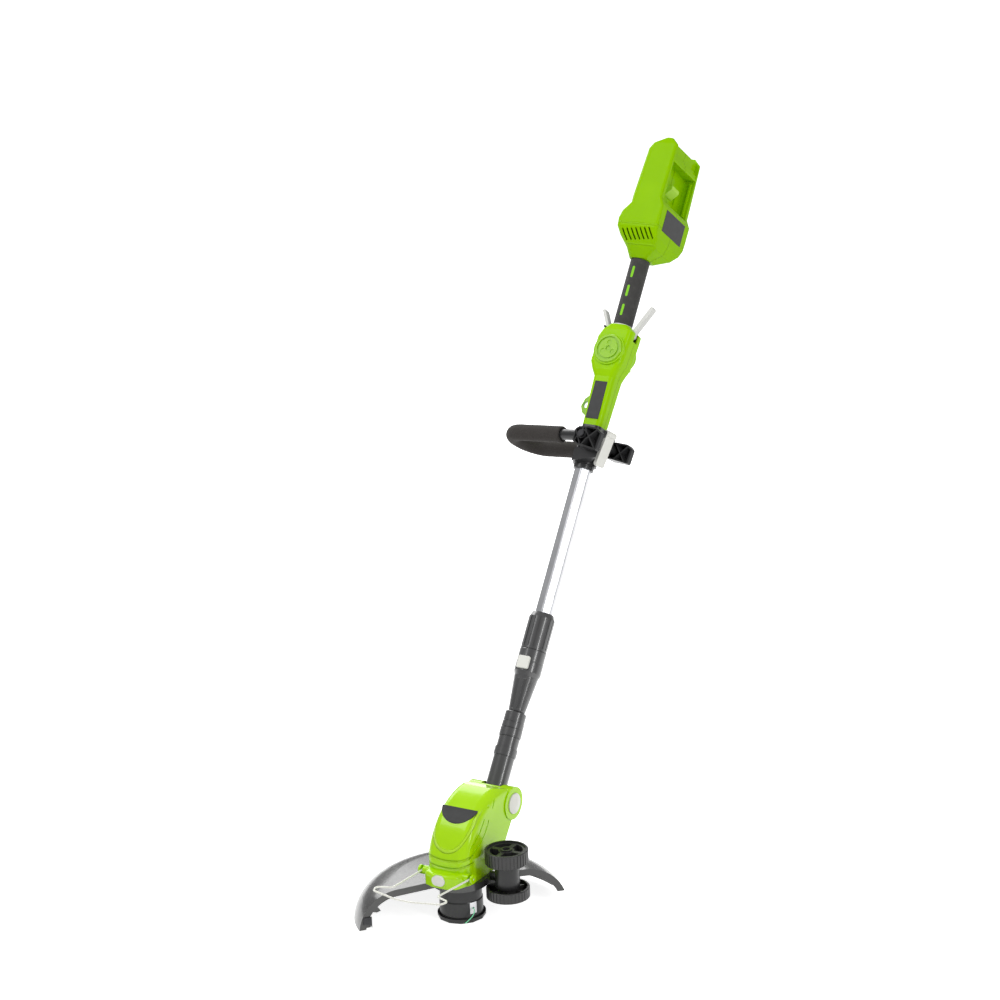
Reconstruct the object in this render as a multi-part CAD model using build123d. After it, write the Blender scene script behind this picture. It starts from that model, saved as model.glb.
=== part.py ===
from build123d import *
from math import cos, degrees, pi, radians, sin, tan
import os

# A cordless string trimmer with a telescopic shaft, standing on its spool.
# Millimetres. The origin is the centre of the spool's underside, +Z is up along the
# spool's axis, -Y is the front of the motor head, +X is the side with the edge roller.
# Everything on the shaft is made in the shaft's own frame: z runs up the shaft from the
# tilt pivot, x is the row's X, and -y is the side of the shaft that faces up and forward.

# Clearances
running_fit = 0.05
body_gap = 0.4
seat_gap = 0.1

# Where the shaft stands in the head
shaft_lean = 35.2
pivot_y = 112.0
pivot_z = 165.0

# Spool
flange_radius = 40.5
flange_height = 8.0
flange_sides = 12
drum_radius = 36.5
drum_shoulder_z = 36.0
drum_neck_radius = 35.4
drum_top_z = 57.5
drum_wall = 2.5
reel_radius = 30.0
reel_hub_radius = 14.0
reel_height = 22.0
reel_flange = 2.0
winding_radius = 26.0
spindle_radius = 4.0
eyelet_angle = 65.0
eyelet_width = 13.0
eyelet_height = 20.0
eyelet_z = 25.0
eyelet_hole = 2.2
line_diameter = 1.6

# Guard
hub_radius = 48.0
hub_bottom_z = 60.0
hub_top_z = 72.0
guard_wall = 3.0
guard_crown_radius = 112.0
guard_crown_z = 67.0
guard_shoulder_radius = 164.0
guard_shoulder_z = 42.0
guard_rim_radius = 180.0
guard_rim_z = 6.0
guard_left_angle = 38.0
guard_right_angle = 133.0
guard_lip = 12.0
blade_width = 15.0
blade_height = 20.0
blade_thickness = 1.6
guard_screw_radius = 2.0

# Motor housing
housing_half_width = 40.0
housing_front_y = -47.0
housing_wall = 2.5
housing_edge_round = 17.0
housing_bulge_y = 76.0
housing_bulge_z = 82.0
bulge_radius = 124.0
bulge_start = 7.0
bulge_end = 86.0
housing_corner_round = 24.0
nose_front_y = -66.0
nose_bottom_z = 74.0
nose_top_z = 97.0
nose_half_width = 38.0
lug_half_width = 52.0
lug_radius = 7.5
boss_radius = 28.0
boss_face_x = 42.0
groove_width = 2.6
groove_depth = 3.2
badge_angle = 51.5
badge_half_width = 34.0
badge_height = 30.0
badge_thickness = 2.0

# Motor
motor_radius = 27.0
motor_height = 58.0
motor_bottom_z = 78.0
motor_wall = 3.0
rotor_radius = 19.0
bearing_radius = 7.0
bearing_height = 6.0

# Tilt pivot
pin_radius = 6.0
knuckle_half_width = 19.0
knuckle_radius = 19.0
tilt_range = 35.0
pivot_button_radius = 17.5
pivot_button_travel = 3.0
front_button_travel = 2.5
front_button_width = 24.0
front_button_height = 17.0
front_button_z = 87.0

# Wire bow
bow_wire_radius = 1.6
bow_pivot_y = -40.0
bow_pivot_z = 89.0
bow_arm_x = 46.0
bow_reach = 98.0
bow_flare = 24.0
bow_front_y = -175.0
bow_rise = 7.0

# Edge roller
roller_x = 84.0
roller_y = 14.0
roller_bottom_z = 44.0
roller_height = 85.0
lower_wheel_height = 18.0
upper_wheel_height = 24.0
wheel_radius = 36.3
barrel_radius = 20.5
axle_radius = 4.0
tread_ribs = 36

# Lower shaft, from the pivot up
lower_tube_radius = 18.2
lower_ring_radius = 19.8
lower_ring_start = 75.0
lower_ring_length = 14.0
lower_tube_end = 108.0
swivel_end = 151.5
swivel_radius = 18.4
swivel_ring_radius = 19.3
swivel_wall = 3.2

# Telescopic tubes
inner_tube_radius = 11.5
inner_tube_wall = 1.4
inner_tube_start = 42.0
inner_tube_end = 572.0
main_tube_radius = 15.5
main_tube_wall = 1.6
main_tube_start = 205.0
main_tube_turn = 15.0
bush_length = 40.0

# Telescope lock
taper_low_radius = 14.6
taper_top_radius = 20.8
lock_ring_start = 214.3
lock_ring_radius = 23.4
lock_ring_split = 240.0
nut_start = 262.0
nut_end = 328.0
nut_radius = 22.6
nut_grooves = 16
lock_button_size = 22.0
lock_button_centre = 236.0
lock_button_travel = 3.0

# Front handle
handle_turn = -13.0
handle_centre = 638.0
handle_axis_x = 22.0
handle_bolt_radius = 4.0
clamp_half_width = 28.0
clamp_start = 597.0
clamp_end = 655.0
clamp_radius = 21.0
ear_inner = 29.0
ear_outer = 51.0
ear_back_x = 4.0
ear_near_x = 53.0
ear_far_x = 58.0
ear_bevel = 15.0
ear_near_drop = 25.0
ear_far_drop = 20.0
ear_high = 14.0
ear_wall = 2.6
handle_reach = 178.0
handle_tube_radius = 9.5
foam_radius = 14.5
foam_start_x = -30.0
lever_length = 58.0
cam_z = 654.0
cam_radius = 6.0
lever_width = 22.0
lever_lean = 8.0
cam_x = 39.5
lever_thickness = 6.0

# Switch housing
sleeve_start = 666.0
sleeve_half = 18.4
sleeve_half_top = 20.8
sleeve_round = 9.5
box_start = 760.0
box_end = 852.0
box_half_side = 24.0
shell_wall = 2.6
dial_radius = 25.5
dial_height = 3.5
dial_centre = 803.0
eye_start = 683.0
eye_end = 727.0
eye_reach = 36.0
eye_thickness = 7.0
eye_hole_radius = 6.0
strip_start = 677.0
strip_end = 745.0
strip_width = 24.0
plate_thickness = 1.2

# Rear grip
grip_offset = 2.0
grip_length = 121.0
grip_radius = 17.0
grip_core_radius = 14.2
inlay_length = 21.0
inlay_width = 4.6
inlay_pitch = 35.4
inlay_offset = 25.0

grip_start = box_end + grip_offset
grip_end = grip_start + grip_length
inlay_first = grip_start + inlay_offset

# Levers
trigger_length = 61.0
trigger_width = 12.0
trigger_splay = 26.0
lockoff_length = 40.0
lockoff_width = 16.0
lockoff_splay = 28.0
lever_pin_radius = 2.0

# Battery housing
battery_length = 215.0
battery_half_side = 58.0
battery_round = 12.0
battery_edge_round = 4.5
bay_half_side = 46.0
bay_sill = 97.0
bay_lintel = 42.0
bay_floor_x = 18.0
bay_top_step = 8.0
contact_height = 18.0
contact_reach = 12.0
contact_half_width = 14.0
vent_count = 7
vent_pitch = 8.6
vent_length = 19.0
vent_width = 2.8
vent_slant = 25.0
rating_half_side = 38.0
rating_sill = 47.0
rating_length = 39.0
plate_face_x = 46.0

battery_top = grip_end + battery_length
bay_start = grip_end + bay_sill
bay_end = battery_top - bay_lintel
rating_start = grip_end + rating_sill
rating_end = rating_start + rating_length

shaft_place = Pos(0, pivot_y, pivot_z) * Rot(X=-shaft_lean)


def on_shaft(shape):
    """Takes a shape from the shaft's frame to the row's frame."""
    return shaft_place * shape


def block(x0, x1, y0, y1, z0, z1):
    """A box between two corners."""
    return Pos((x0 + x1) / 2, (y0 + y1) / 2, (z0 + z1) / 2) * Box(abs(x1 - x0), abs(y1 - y0), abs(z1 - z0))


def rod(radius, z0, z1):
    """A cylinder about z."""
    return Pos(0, 0, (z0 + z1) / 2) * Cylinder(radius, z1 - z0)


def tube(outer, inner, z0, z1):
    """A straight tube about z."""
    return rod(outer, z0, z1) - rod(inner, z0 - 1, z1 + 1)


def rod_x(radius, x0, x1, y=0.0, z=0.0):
    """A cylinder parallel to x."""
    return Pos((x0 + x1) / 2, y, z) * Rot(Y=90) * Cylinder(radius, x1 - x0)


def rod_y(radius, y0, y1, x=0.0, z=0.0):
    """A cylinder parallel to y."""
    return Pos(x, (y0 + y1) / 2, z) * Rot(X=90) * Cylinder(radius, y1 - y0)


def turned(points):
    """A solid of revolution about z from (radius, z) points."""
    return revolve(Plane.XZ * make_face(Polyline(points, close=True)), Axis.Z, 360)


def prism_x(points, half, rounding=0.0):
    """A (y, z) outline carried along x by half each way, with its corners rounded."""
    face = make_face(Polyline(points, close=True))
    if rounding:
        face = fillet(face.vertices(), rounding)
    return extrude(Plane.YZ * face, half, both=True)


def prism_y(points, half, rounding=0.0):
    """An (x, z) outline carried along y by half each way, with its corners rounded."""
    face = make_face(Polyline(points, close=True))
    if rounding:
        face = fillet(face.vertices(), rounding)
    return extrude(Plane.XZ * face, half, both=True)


def around(shape, angle):
    """Turns a shape about z so that its +x side faces the angle from the front, -y, towards +x."""
    return Rot(Z=angle - 90) * shape


def half(shape, axis, sign):
    """The part of a shape on one side of the plane through the origin across an axis."""
    size = 3000.0
    shift = [0.0, 0.0, 0.0]
    shift[axis] = sign * size / 2
    return shape & (Pos(*shift) * Box(size, size, size))


nodes = {}


def keep(name, shape):
    """Stores a node under its name."""
    nodes[name] = shape


# ---------------------------------------------------------------- spool


def spool_cap():
    plate = extrude(RegularPolygon(flange_radius, flange_sides), flange_height - 3)
    plate = chamfer(plate.edges().group_by(Axis.Z)[0], 1.5)
    rim = rod(flange_radius, flange_height - 3, flange_height)
    spigot_radius = drum_radius - drum_wall
    spigot = tube(spigot_radius - seat_gap, spigot_radius - drum_wall, flange_height, flange_height + 4)
    dish = tube(flange_radius - 12, 10, -1, 1.5)
    bore = spindle_radius + seat_gap / 2
    sleeve = tube(spindle_radius + 6 - seat_gap, bore, flange_height - 1, drum_shoulder_z + 1.8)
    step = tube(reel_hub_radius - 1, bore, flange_height - 1, flange_height + 5 - seat_gap)
    return plate + rim + spigot + sleeve + step - dish


def eyelet_form(grow, outer):
    """The curved plate let into the drum's wall for the line to come out of, grown by grow."""
    low = eyelet_z - eyelet_height / 2 - grow
    high = eyelet_z + eyelet_height / 2 + grow
    reach = eyelet_width / 2 + grow
    window = around(block(drum_radius - 8, drum_radius + 8, -reach, reach, low, high), eyelet_angle)
    return tube(outer, drum_radius - 1.1 - grow, low, high) & window


def spool_drum():
    bottom = flange_height + seat_gap
    outer = turned([
        (0, bottom), (drum_radius, bottom), (drum_radius, drum_shoulder_z - 2),
        (drum_neck_radius, drum_shoulder_z), (drum_neck_radius, drum_top_z - 2),
        (drum_neck_radius - 2, drum_top_z), (0, drum_top_z),
    ])
    room = rod(drum_radius - drum_wall, bottom - 1, drum_shoulder_z - 3)
    room += rod(drum_neck_radius - drum_wall, bottom, drum_top_z - 4)
    shell = outer - room + rod(spindle_radius + 5, drum_shoulder_z + 2, drum_top_z)
    shell -= rod(spindle_radius + seat_gap / 2, 0, drum_top_z + 1)
    shell -= eyelet_form(seat_gap, drum_radius + 4)
    return shell - around(rod_x(eyelet_hole, drum_radius - 6, drum_radius + 2, 0, eyelet_z), eyelet_angle)


def line_eyelet():
    plate = eyelet_form(0, drum_radius + 0.5)
    hole = rod_x(eyelet_hole - 0.6, drum_radius - 6, drum_radius + 3, 0, eyelet_z)
    return plate - around(hole, eyelet_angle)


def line_reel():
    low = flange_height + 5
    top = low + reel_height
    spool = tube(reel_hub_radius, spindle_radius + 6, low, top)
    spool += tube(reel_radius, spindle_radius + 6, low, low + reel_flange)
    spool += tube(reel_radius, spindle_radius + 6, top - reel_flange, top)
    return spool


def wound_line():
    low = flange_height + 5
    return tube(winding_radius, reel_hub_radius + seat_gap, low + reel_flange + seat_gap,
                low + reel_height - reel_flange - seat_gap)


def motor_spindle():
    top = motor_bottom_z + motor_height + 3
    return rod(spindle_radius, flange_height + 2, top)


def motor_rotor():
    low = motor_bottom_z + motor_wall + 6
    high = motor_bottom_z + motor_height - motor_wall - 6
    stack = tube(rotor_radius, spindle_radius + seat_gap / 2, low, high)
    for step in range(12):
        stack -= Rot(Z=step * 30) * block(rotor_radius - 4, rotor_radius + 1, -1.2, 1.2, low - 1, high + 1)
    return stack


line_points = [
    (33.6, -15.7, 25.0), (38.4, -19.6, 22.6), (38.6, -25.6, 16.4), (34.6, -31.4, 10.0), (28.6, -35.4, 4.0),
]


def route_radii(points):
    """The bend radius at each inner point of a route: 0.45 of the shorter run over tan(half the turn)."""
    radii = []
    for before, here, after in zip(points, points[1:], points[2:]):
        run_in = Vector(*here) - Vector(*before)
        run_out = Vector(*after) - Vector(*here)
        turn = run_in.get_angle(run_out)
        radii.append(0.45 * min(run_in.length, run_out.length) / tan(radians(turn) / 2))
    return radii


def cutting_line():
    radii = route_radii(line_points)
    path = FilletPolyline(*line_points, radius=radii)
    section = Plane(origin=path @ 0, z_dir=path % 0) * Circle(line_diameter / 2)
    solid = sweep(section, path=path)
    print("line radii", [round(radius, 1) for radius in radii], "length", round(path.length, 2),
          "volume", round(solid.volume, 2),
          "section by length", round(pi * line_diameter ** 2 / 4 * path.length, 2))
    return solid


# ---------------------------------------------------------------- guard


def guard_section(inset):
    """The dome's outline as (radius, z) points, moved inwards by inset."""
    crown = (guard_crown_radius, guard_crown_z - inset)
    shoulder = (guard_shoulder_radius - 0.6 * inset, guard_shoulder_z - 0.8 * inset)
    rim = (guard_rim_radius - inset, guard_rim_z)
    flat = Line((hub_radius - 6, guard_crown_z + 2 - inset), crown)
    dome = TangentArc(crown, shoulder, tangent=flat % 1)
    skirt = TangentArc(shoulder, rim, tangent=dome % 1)
    return [flat, dome, skirt]


def guard_sector(upper_inset, lower_inset, start, span):
    """The dome between two insets, turned about z from the start angle through a span."""
    upper = guard_section(upper_inset)
    lower = guard_section(lower_inset)
    edges = Curve() + upper + lower
    edges += Line(upper[0] @ 0, lower[0] @ 0)
    edges += Line(upper[2] @ 1, lower[2] @ 1)
    face = make_face(edges.edges())
    return Rot(Z=start) * revolve(Plane.XZ * face, Axis.Z, span)


def guard_room(inset):
    """Everything under the dome, inset from its outer face."""
    edges = guard_section(inset)
    top = edges[0] @ 0
    rim = edges[2] @ 1
    walls = Polyline((top.X, top.Y), (0, top.Y), (0, rim.Y), (rim.X, rim.Y))
    return revolve(Plane.XZ * make_face((Curve() + edges + walls.edges()).edges()), Axis.Z, 360)


def guard_shell():
    first = guard_right_angle - 90
    last = 270 - guard_left_angle
    rib_span = degrees(guard_wall / guard_crown_radius)
    shell = guard_sector(0, guard_wall, first, last - first)
    shell += guard_sector(0, guard_lip, last - rib_span, rib_span)
    shell += guard_sector(0, guard_lip, first, rib_span)
    shell += rod(hub_radius, hub_bottom_z, hub_top_z - seat_gap)
    shell -= rod(spindle_radius + 6, 0, hub_top_z + 10)
    shell += cutter_pad()
    tip = prism_x([(-5, -20), (-5, 20), (0, 20), (60, guard_rim_z), (60, -20)], 60)
    shell -= Rot(Z=first) * Pos(guard_rim_radius, 0, 0) * tip
    for x, y in guard_screw_places():
        shell -= Pos(x, y, 0) * rod(guard_screw_radius + 0.2, hub_bottom_z - 1, hub_top_z + 1)
    return shell


def guard_screw_places():
    """Where the screws go up through the guard's hub into the motor housing."""
    reach = hub_radius - 14
    return [(reach * cos(radians(turn)), reach * sin(radians(turn))) for turn in (45, 135, 225, 315)]


def guard_screws():
    screw = rod(guard_screw_radius, hub_bottom_z - 1, hub_top_z + 8)
    screw += rod(2 * guard_screw_radius, hub_bottom_z - 1.6, hub_bottom_z - seat_gap)
    return Compound(children=[Pos(x, y, 0) * screw for x, y in guard_screw_places()])


def blade_frame():
    """Where the cutter blade sits: on the inner face of the guard's left end."""
    return Rot(Z=270 - guard_left_angle)


def line_cutter():
    """The blade on the guard's left end that trims the line, with a pointed lower edge."""
    outer = guard_rim_radius - guard_wall - 4
    inner = outer - blade_width
    low = guard_rim_z + 2
    outline = [
        (inner, low), (inner + 3, low + 6), (outer, low + 8),
        (outer, low + blade_height), (inner, low + blade_height),
    ]
    plate = prism_y(outline, blade_thickness / 2)
    return blade_frame() * Pos(0, seat_gap + blade_thickness / 2, 0) * plate


def cutter_pad():
    """The pad under the guard's left end that carries the cutter blade, with a spike beside it."""
    reach = guard_rim_radius - guard_wall
    low = guard_rim_z + 3
    pad = block(reach - blade_width - 2, reach - 1, -8, 0, low, guard_shoulder_z - 4)
    spike = prism_y([(150, 46), (145, 41), (141, 35), (148, 33), (155, 35), (160, 46)], 1.6)
    spike = Pos(0, -1.6, 0) * spike
    return (blade_frame() * (pad + spike)) & guard_room(guard_wall / 2)


# ---------------------------------------------------------------- motor head


def housing_side():
    """The motor housing's outline in the middle plane, bulging forward over the motor."""
    low_front = (housing_front_y, hub_top_z)
    high_front = (housing_front_y, housing_bulge_z + bulge_radius * sin(radians(bulge_start)))
    crest = bulge_point(bulge_end)
    back = [crest, (98, 196), (108, 140), (84, 110), (47, 82), (47, hub_top_z), low_front]
    bulge = ThreePointArc(high_front, bulge_point((bulge_start + bulge_end) / 2), crest)
    return make_face([Line(low_front, high_front), bulge] + Polyline(back).edges())


def bulge_point(angle):
    """A point on the bulge of the housing's front, an angle up from straight forward."""
    turn = radians(angle)
    return (housing_bulge_y - bulge_radius * cos(turn), housing_bulge_z + bulge_radius * sin(turn))


def housing_form(inset):
    """The motor housing's outer form, or with an inset the room inside it."""
    outline = housing_side()
    if inset:
        outline = offset(outline, -inset)
    form = extrude(Plane.YZ * outline, 80, both=True)
    corner = housing_edge_round - inset
    reach = bulge_radius - inset
    width = housing_half_width - inset
    drum = make_face(Polyline([(-width, 0), (-width, reach), (width, reach), (width, 0)], close=True))
    drum = fillet(drum.vertices().group_by(Axis.Y)[-1], corner)
    drum = revolve(drum, Axis.X, 360)
    form &= Pos(0, housing_bulge_y, housing_bulge_z) * drum
    depth = 400.0
    plan = Pos(0, housing_front_y + inset + depth / 2) * Rectangle(2 * width, depth)
    plan = fillet(plan.vertices().group_by(Axis.Y)[0], housing_corner_round - inset)
    return form & extrude(plan, 300)


def head_nose():
    """The rounded lip at the front of the housing with a lug at each end for the wire bow."""
    back = bow_pivot_y + 14
    side = [
        (nose_half_width, back), (nose_half_width, bow_pivot_y), (nose_half_width - 7, nose_front_y + 7),
        (14, nose_front_y), (-14, nose_front_y), (7 - nose_half_width, nose_front_y + 7),
        (-nose_half_width, bow_pivot_y), (-nose_half_width, back),
    ]
    face = make_face(Polyline(side, close=True))
    face = fillet(face.vertices().group_by(Axis.Y)[0] + face.vertices().group_by(Axis.Y)[1], 9)
    nose = Pos(0, 0, nose_bottom_z) * extrude(face, nose_top_z - nose_bottom_z)
    nose = fillet(nose.edges().group_by(Axis.Z)[-1], 6)
    return nose + rod_x(lug_radius, -lug_half_width, lug_half_width, bow_pivot_y, bow_pivot_z)


def pivot_at(shape):
    """Takes a shape made about x at the origin to the tilt pivot."""
    return Pos(0, pivot_y, pivot_z) * shape


def shaft_slot():
    """The room between the fork's ears that the lower shaft swings in."""
    width = knuckle_half_width + body_gap
    room = pivot_at(rod_x(knuckle_radius + body_gap, -width, width))
    steps = 5
    for step in range(steps + 1):
        lean = shaft_lean + tilt_range * step / steps
        room += pivot_at(Rot(X=-lean) * block(-width, width, -lower_tube_radius - body_gap,
                                              lower_tube_radius + body_gap, 0, 120))
    return room


def bow_slots():
    """The slots and bores in both lugs for the bow's ends."""
    cut = Part()
    for sign in (1, -1):
        middle = sign * bow_arm_x
        bore = bow_wire_radius + running_fit
        cut += rod_x(bore, middle - 8, middle + 8, bow_pivot_y, bow_pivot_z)
        cut += block(middle - 2.4, middle + 2.4, nose_front_y - 5, bow_pivot_y + 6,
                     bow_pivot_z - 4, nose_top_z + 12)
    return cut


def front_button_form(grow, depth_start, depth_end):
    """An oval across the nose, between two depths behind its front face."""
    oval = SlotOverall(front_button_width + 2 * grow, front_button_height + 2 * grow)
    oval = Plane.XZ * oval
    return Pos(0, nose_front_y + depth_end, front_button_z) * extrude(oval, depth_end - depth_start)


def side_groove(points):
    """A narrow curved cut through (y, z) points in both side faces."""
    band = extrude(Plane.YZ * trace(Spline(*points), groove_width), groove_depth, both=True)
    reach = housing_half_width + groove_depth / 2
    return Pos(reach, 0, 0) * band + Pos(-reach, 0, 0) * band


def side_vents():
    """Two short vents high on each side and two long curved grooves below them."""
    cut = side_groove([(48, 197), (41, 191.5), (33.5, 186)])
    cut += side_groove([(57, 197), (52.5, 189), (47.5, 180)])
    cut += side_groove([(21, 171), (8, 157), (-9, 143.5), (-28, 132.5), (-39, 124)])
    cut += side_groove([(34, 164), (21, 147), (2.5, 133.5), (-26, 121.5), (-41, 113.5)])
    return cut


def badge_form(grow, low, high):
    """A half disc with its straight edge at the top, bent over the bulge between two heights."""
    width = badge_half_width + grow
    top = badge_height / 2 + grow
    bottom = -badge_height / 2 - grow
    lines = [
        Line((width, top), (-width, top)),
        ThreePointArc((-width, top), (0, bottom), (width, top)),
    ]
    disc = extrude(make_face(lines), 40, both=True)
    lean = radians(badge_angle)
    middle = (0, *bulge_point(badge_angle))
    seat = Plane(origin=middle, x_dir=(1, 0, 0), z_dir=(0, -cos(lean), sin(lean)))
    curve = rod_x(bulge_radius + high, -200, 200) - rod_x(bulge_radius + low, -201, 201)
    return (seat * disc) & (Pos(0, housing_bulge_y, housing_bulge_z) * curve)


def motor_housing():
    """Both shells together, before they are parted on the middle plane."""
    form = housing_form(0) + head_nose()
    form += pivot_at(rod_x(boss_radius, -boss_face_x, boss_face_x))
    cavity = housing_form(housing_wall) & block(-200, 200, -200, pivot_y - knuckle_radius - 8, 0, 400)
    form -= cavity
    form += tube(motor_radius + 3, motor_radius + seat_gap, hub_top_z + 2, motor_bottom_z + 12) & block(
        -60, 60, housing_front_y + 2, 46, hub_top_z, 120)
    for x, y in guard_screw_places():
        form += Pos(x, y, 0) * rod(5, hub_top_z, hub_top_z + 12)
        form -= Pos(x, y, 0) * rod(2.0 + seat_gap, hub_top_z - 1, hub_top_z + 9)
    form -= rod(motor_radius + seat_gap, motor_bottom_z - seat_gap, motor_bottom_z + motor_height + 8)
    form -= rod(bearing_radius + 5, hub_top_z - 1, motor_bottom_z + 1)
    form -= shaft_slot()
    form -= pivot_at(rod_x(pin_radius + seat_gap, -60, 60))
    form -= pivot_at(rod_x(pivot_button_radius + body_gap, boss_face_x - 9, boss_face_x + 9))
    form -= pivot_at(rod_x(pivot_button_radius, -boss_face_x - 9, -boss_face_x + 3))
    form -= bow_slots()
    form -= front_button_form(body_gap, -2, front_button_travel + 7)
    form -= side_vents()
    form -= badge_form(0.3, -seat_gap - badge_thickness / 2, 20)
    return form


def badge_plate():
    return badge_form(0, -badge_thickness / 2, badge_thickness / 4)


def motor_can():
    low, high = motor_bottom_z, motor_bottom_z + motor_height
    can = rod(motor_radius, low, high) - rod(motor_radius - motor_wall, low + motor_wall, high - motor_wall)
    return can - rod(bearing_radius + seat_gap / 2, low - 1, high + 1)


def motor_bearings():
    low, high = motor_bottom_z, motor_bottom_z + motor_height
    rings = [tube(bearing_radius, spindle_radius + running_fit, z, z + bearing_height)
             for z in (low - bearing_height + motor_wall, high - motor_wall)]
    return Compound(children=rings)


def pivot_pin():
    pin = rod_x(pin_radius, -boss_face_x - 2, boss_face_x - 9 - seat_gap)
    pin += rod_x(pivot_button_radius - seat_gap, -boss_face_x - 3, -boss_face_x + 3 - seat_gap)
    return pivot_at(pin)


def pivot_button():
    """A domed button that frees the tilt when it is pressed into the fork's ear."""
    base = boss_face_x - 9 + pivot_button_travel + body_gap
    crown = boss_face_x + 5
    dome_radius = (pivot_button_radius ** 2 + 9) / 6
    ball = Pos(crown - dome_radius, 0, 0) * Sphere(dome_radius)
    button = rod_x(pivot_button_radius, base, crown) & ball
    button -= rod_x(9, base - 1, base + 5)
    return pivot_at(button)


def leaf_spring(length, rise, width, gauge=0.5):
    """A bowed strip lying on z = 0, as long as length along x."""
    outer = ThreePointArc((-length / 2, 0), (0, rise), (length / 2, 0))
    inner = ThreePointArc((length / 2 - 1.2, 0), (0, rise - gauge), (-length / 2 + 1.2, 0))
    edges = [outer, Line(outer @ 1, inner @ 0), inner, Line(inner @ 1, outer @ 0)]
    return extrude(Plane.XZ * make_face(edges), width / 2, both=True)


def button_springs():
    """The bowed leaf springs behind the tilt button and the front button."""
    tilt = pivot_at(Pos(boss_face_x - 9 + seat_gap, 0, 0) * Rot(Y=90) * leaf_spring(14, 4, 6))
    front_y = nose_front_y + front_button_travel + 7 - seat_gap
    front = Pos(0, front_y, front_button_z) * Rot(X=90) * leaf_spring(14, 2.2, 6)
    return Compound(children=[tilt, front])


def front_button():
    body = front_button_form(0, -2.5, 4)
    return body


housing_screw_places = ((34, 172), (78, 184), (60, 108), (37, 90))


def housing_screws():
    """Four screws that hold the two shells of the motor housing together from the -X side."""
    places = housing_screw_places
    screws = []
    for y, z in places:
        screws.append(rod_x(3.2, -housing_half_width + 0.6, -housing_half_width + 3, y, z)
                      + rod_x(1.6, -housing_half_width + 2.4, 0, y, z))
    return Compound(children=screws)


def screw_posts(hole):
    """The posts inside the housing around the shell screws, or the holes for the screws."""
    places = housing_screw_places
    posts = Part()
    for y, z in places:
        if hole:
            posts += rod_x(3.3, -housing_half_width - 2, -housing_half_width + 3.1, y, z)
            posts += rod_x(1.7, -housing_half_width, 0.1, y, z)
        else:
            posts += rod_x(4.5, -housing_half_width + 1.5, housing_half_width - 2, y, z)
    return posts


# ---------------------------------------------------------------- wire bow


def wire_bow():
    arm = bow_arm_x
    corner_y = bow_pivot_y - bow_reach
    points = [
        (arm + 6, bow_pivot_y, bow_pivot_z),
        (arm, bow_pivot_y, bow_pivot_z),
        (arm - 3, corner_y, bow_pivot_z + bow_rise),
        (arm + bow_flare, corner_y - 9, bow_pivot_z + bow_rise),
        (arm + bow_flare - 6, corner_y - 24, bow_pivot_z + bow_rise),
        (16, bow_front_y, bow_pivot_z + bow_rise),
    ]
    route = points + [(-x, y, z) for x, y, z in reversed(points)]
    radii = [3, 8, 7, 6, 60]
    path = FilletPolyline(*route, radius=radii + list(reversed(radii)))
    section = Plane(origin=path @ 0, z_dir=path % 0) * Circle(bow_wire_radius)
    return sweep(section, path=path)


# ---------------------------------------------------------------- edge roller


def at_roller(shape):
    """Takes a shape made about z to the roller's axis."""
    return Pos(roller_x, roller_y, 0) * shape


barrel_low = roller_bottom_z + lower_wheel_height + body_gap
barrel_high = roller_bottom_z + roller_height - upper_wheel_height - body_gap


def roller_bracket():
    barrel = at_roller(tube(barrel_radius, axle_radius + running_fit, barrel_low, barrel_high))
    arm = block(0, roller_x, roller_y - 10, roller_y + 10, barrel_low, hub_top_z - seat_gap)
    gusset = block(0, roller_x, roller_y - 3, roller_y + 3, barrel_low, barrel_low + 20)
    arm -= rod(hub_radius + seat_gap, 0, 200)
    gusset -= rod(hub_radius + 4, 0, 200)
    bracket = arm + gusset - at_roller(rod(axle_radius + 3, 0, 200))
    return barrel + bracket


def roller_axle():
    return at_roller(rod(axle_radius, roller_bottom_z + 3, roller_bottom_z + roller_height - 4))


def ribbed_wheel(low, high):
    """A wheel with shallow ribs round its tread."""
    wheel = rod(wheel_radius, low, high)
    wheel = chamfer(wheel.edges(), 1.0)
    for step in range(tread_ribs):
        groove = block(wheel_radius - 0.8, wheel_radius + 1, -0.9, 0.9, low - 1, high + 1)
        wheel -= Rot(Z=step * 360 / tread_ribs) * groove
    return wheel - rod(axle_radius + seat_gap / 2, low - 1, high + 1)


def lower_wheel():
    low = roller_bottom_z
    high = low + lower_wheel_height
    wheel = ribbed_wheel(low, high)
    wheel -= tube(wheel_radius - 3.5, barrel_radius - 4, high - 11, high + 1)
    for step in range(6):
        wheel += Rot(Z=step * 60) * block(barrel_radius - 5, wheel_radius - 3, -1.2, 1.2, low + 1, high - 4)
    return at_roller(wheel)


def upper_wheel():
    high = roller_bottom_z + roller_height
    low = high - upper_wheel_height
    wheel = ribbed_wheel(low, high)
    wheel -= rod(wheel_radius - 4, high - 2.5, high + 1)
    wheel += tube(9.5, 6, high - 4, high)
    wheel -= rod(6, high - 5, high + 1)
    for step in range(4):
        pocket = tube(wheel_radius - 9, 13, high - 14, high + 1) & block(4, 60, 4, 60, 0, 300)
        wheel -= Rot(Z=step * 90) * pocket
    return at_roller(wheel)


# ---------------------------------------------------------------- lower shaft


def lower_tube():
    body = rod_x(knuckle_radius, -knuckle_half_width, knuckle_half_width)
    body += rod(lower_tube_radius, 0, lower_tube_end)
    body += rod(lower_ring_radius, lower_ring_start, lower_ring_start + lower_ring_length)
    body += rod(swivel_radius - swivel_wall - running_fit, lower_tube_end, swivel_end - 4)
    body -= rod(inner_tube_radius + running_fit, inner_tube_start - 4, swivel_end)
    body -= rod_x(pin_radius + running_fit, -60, 60)
    return body


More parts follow.
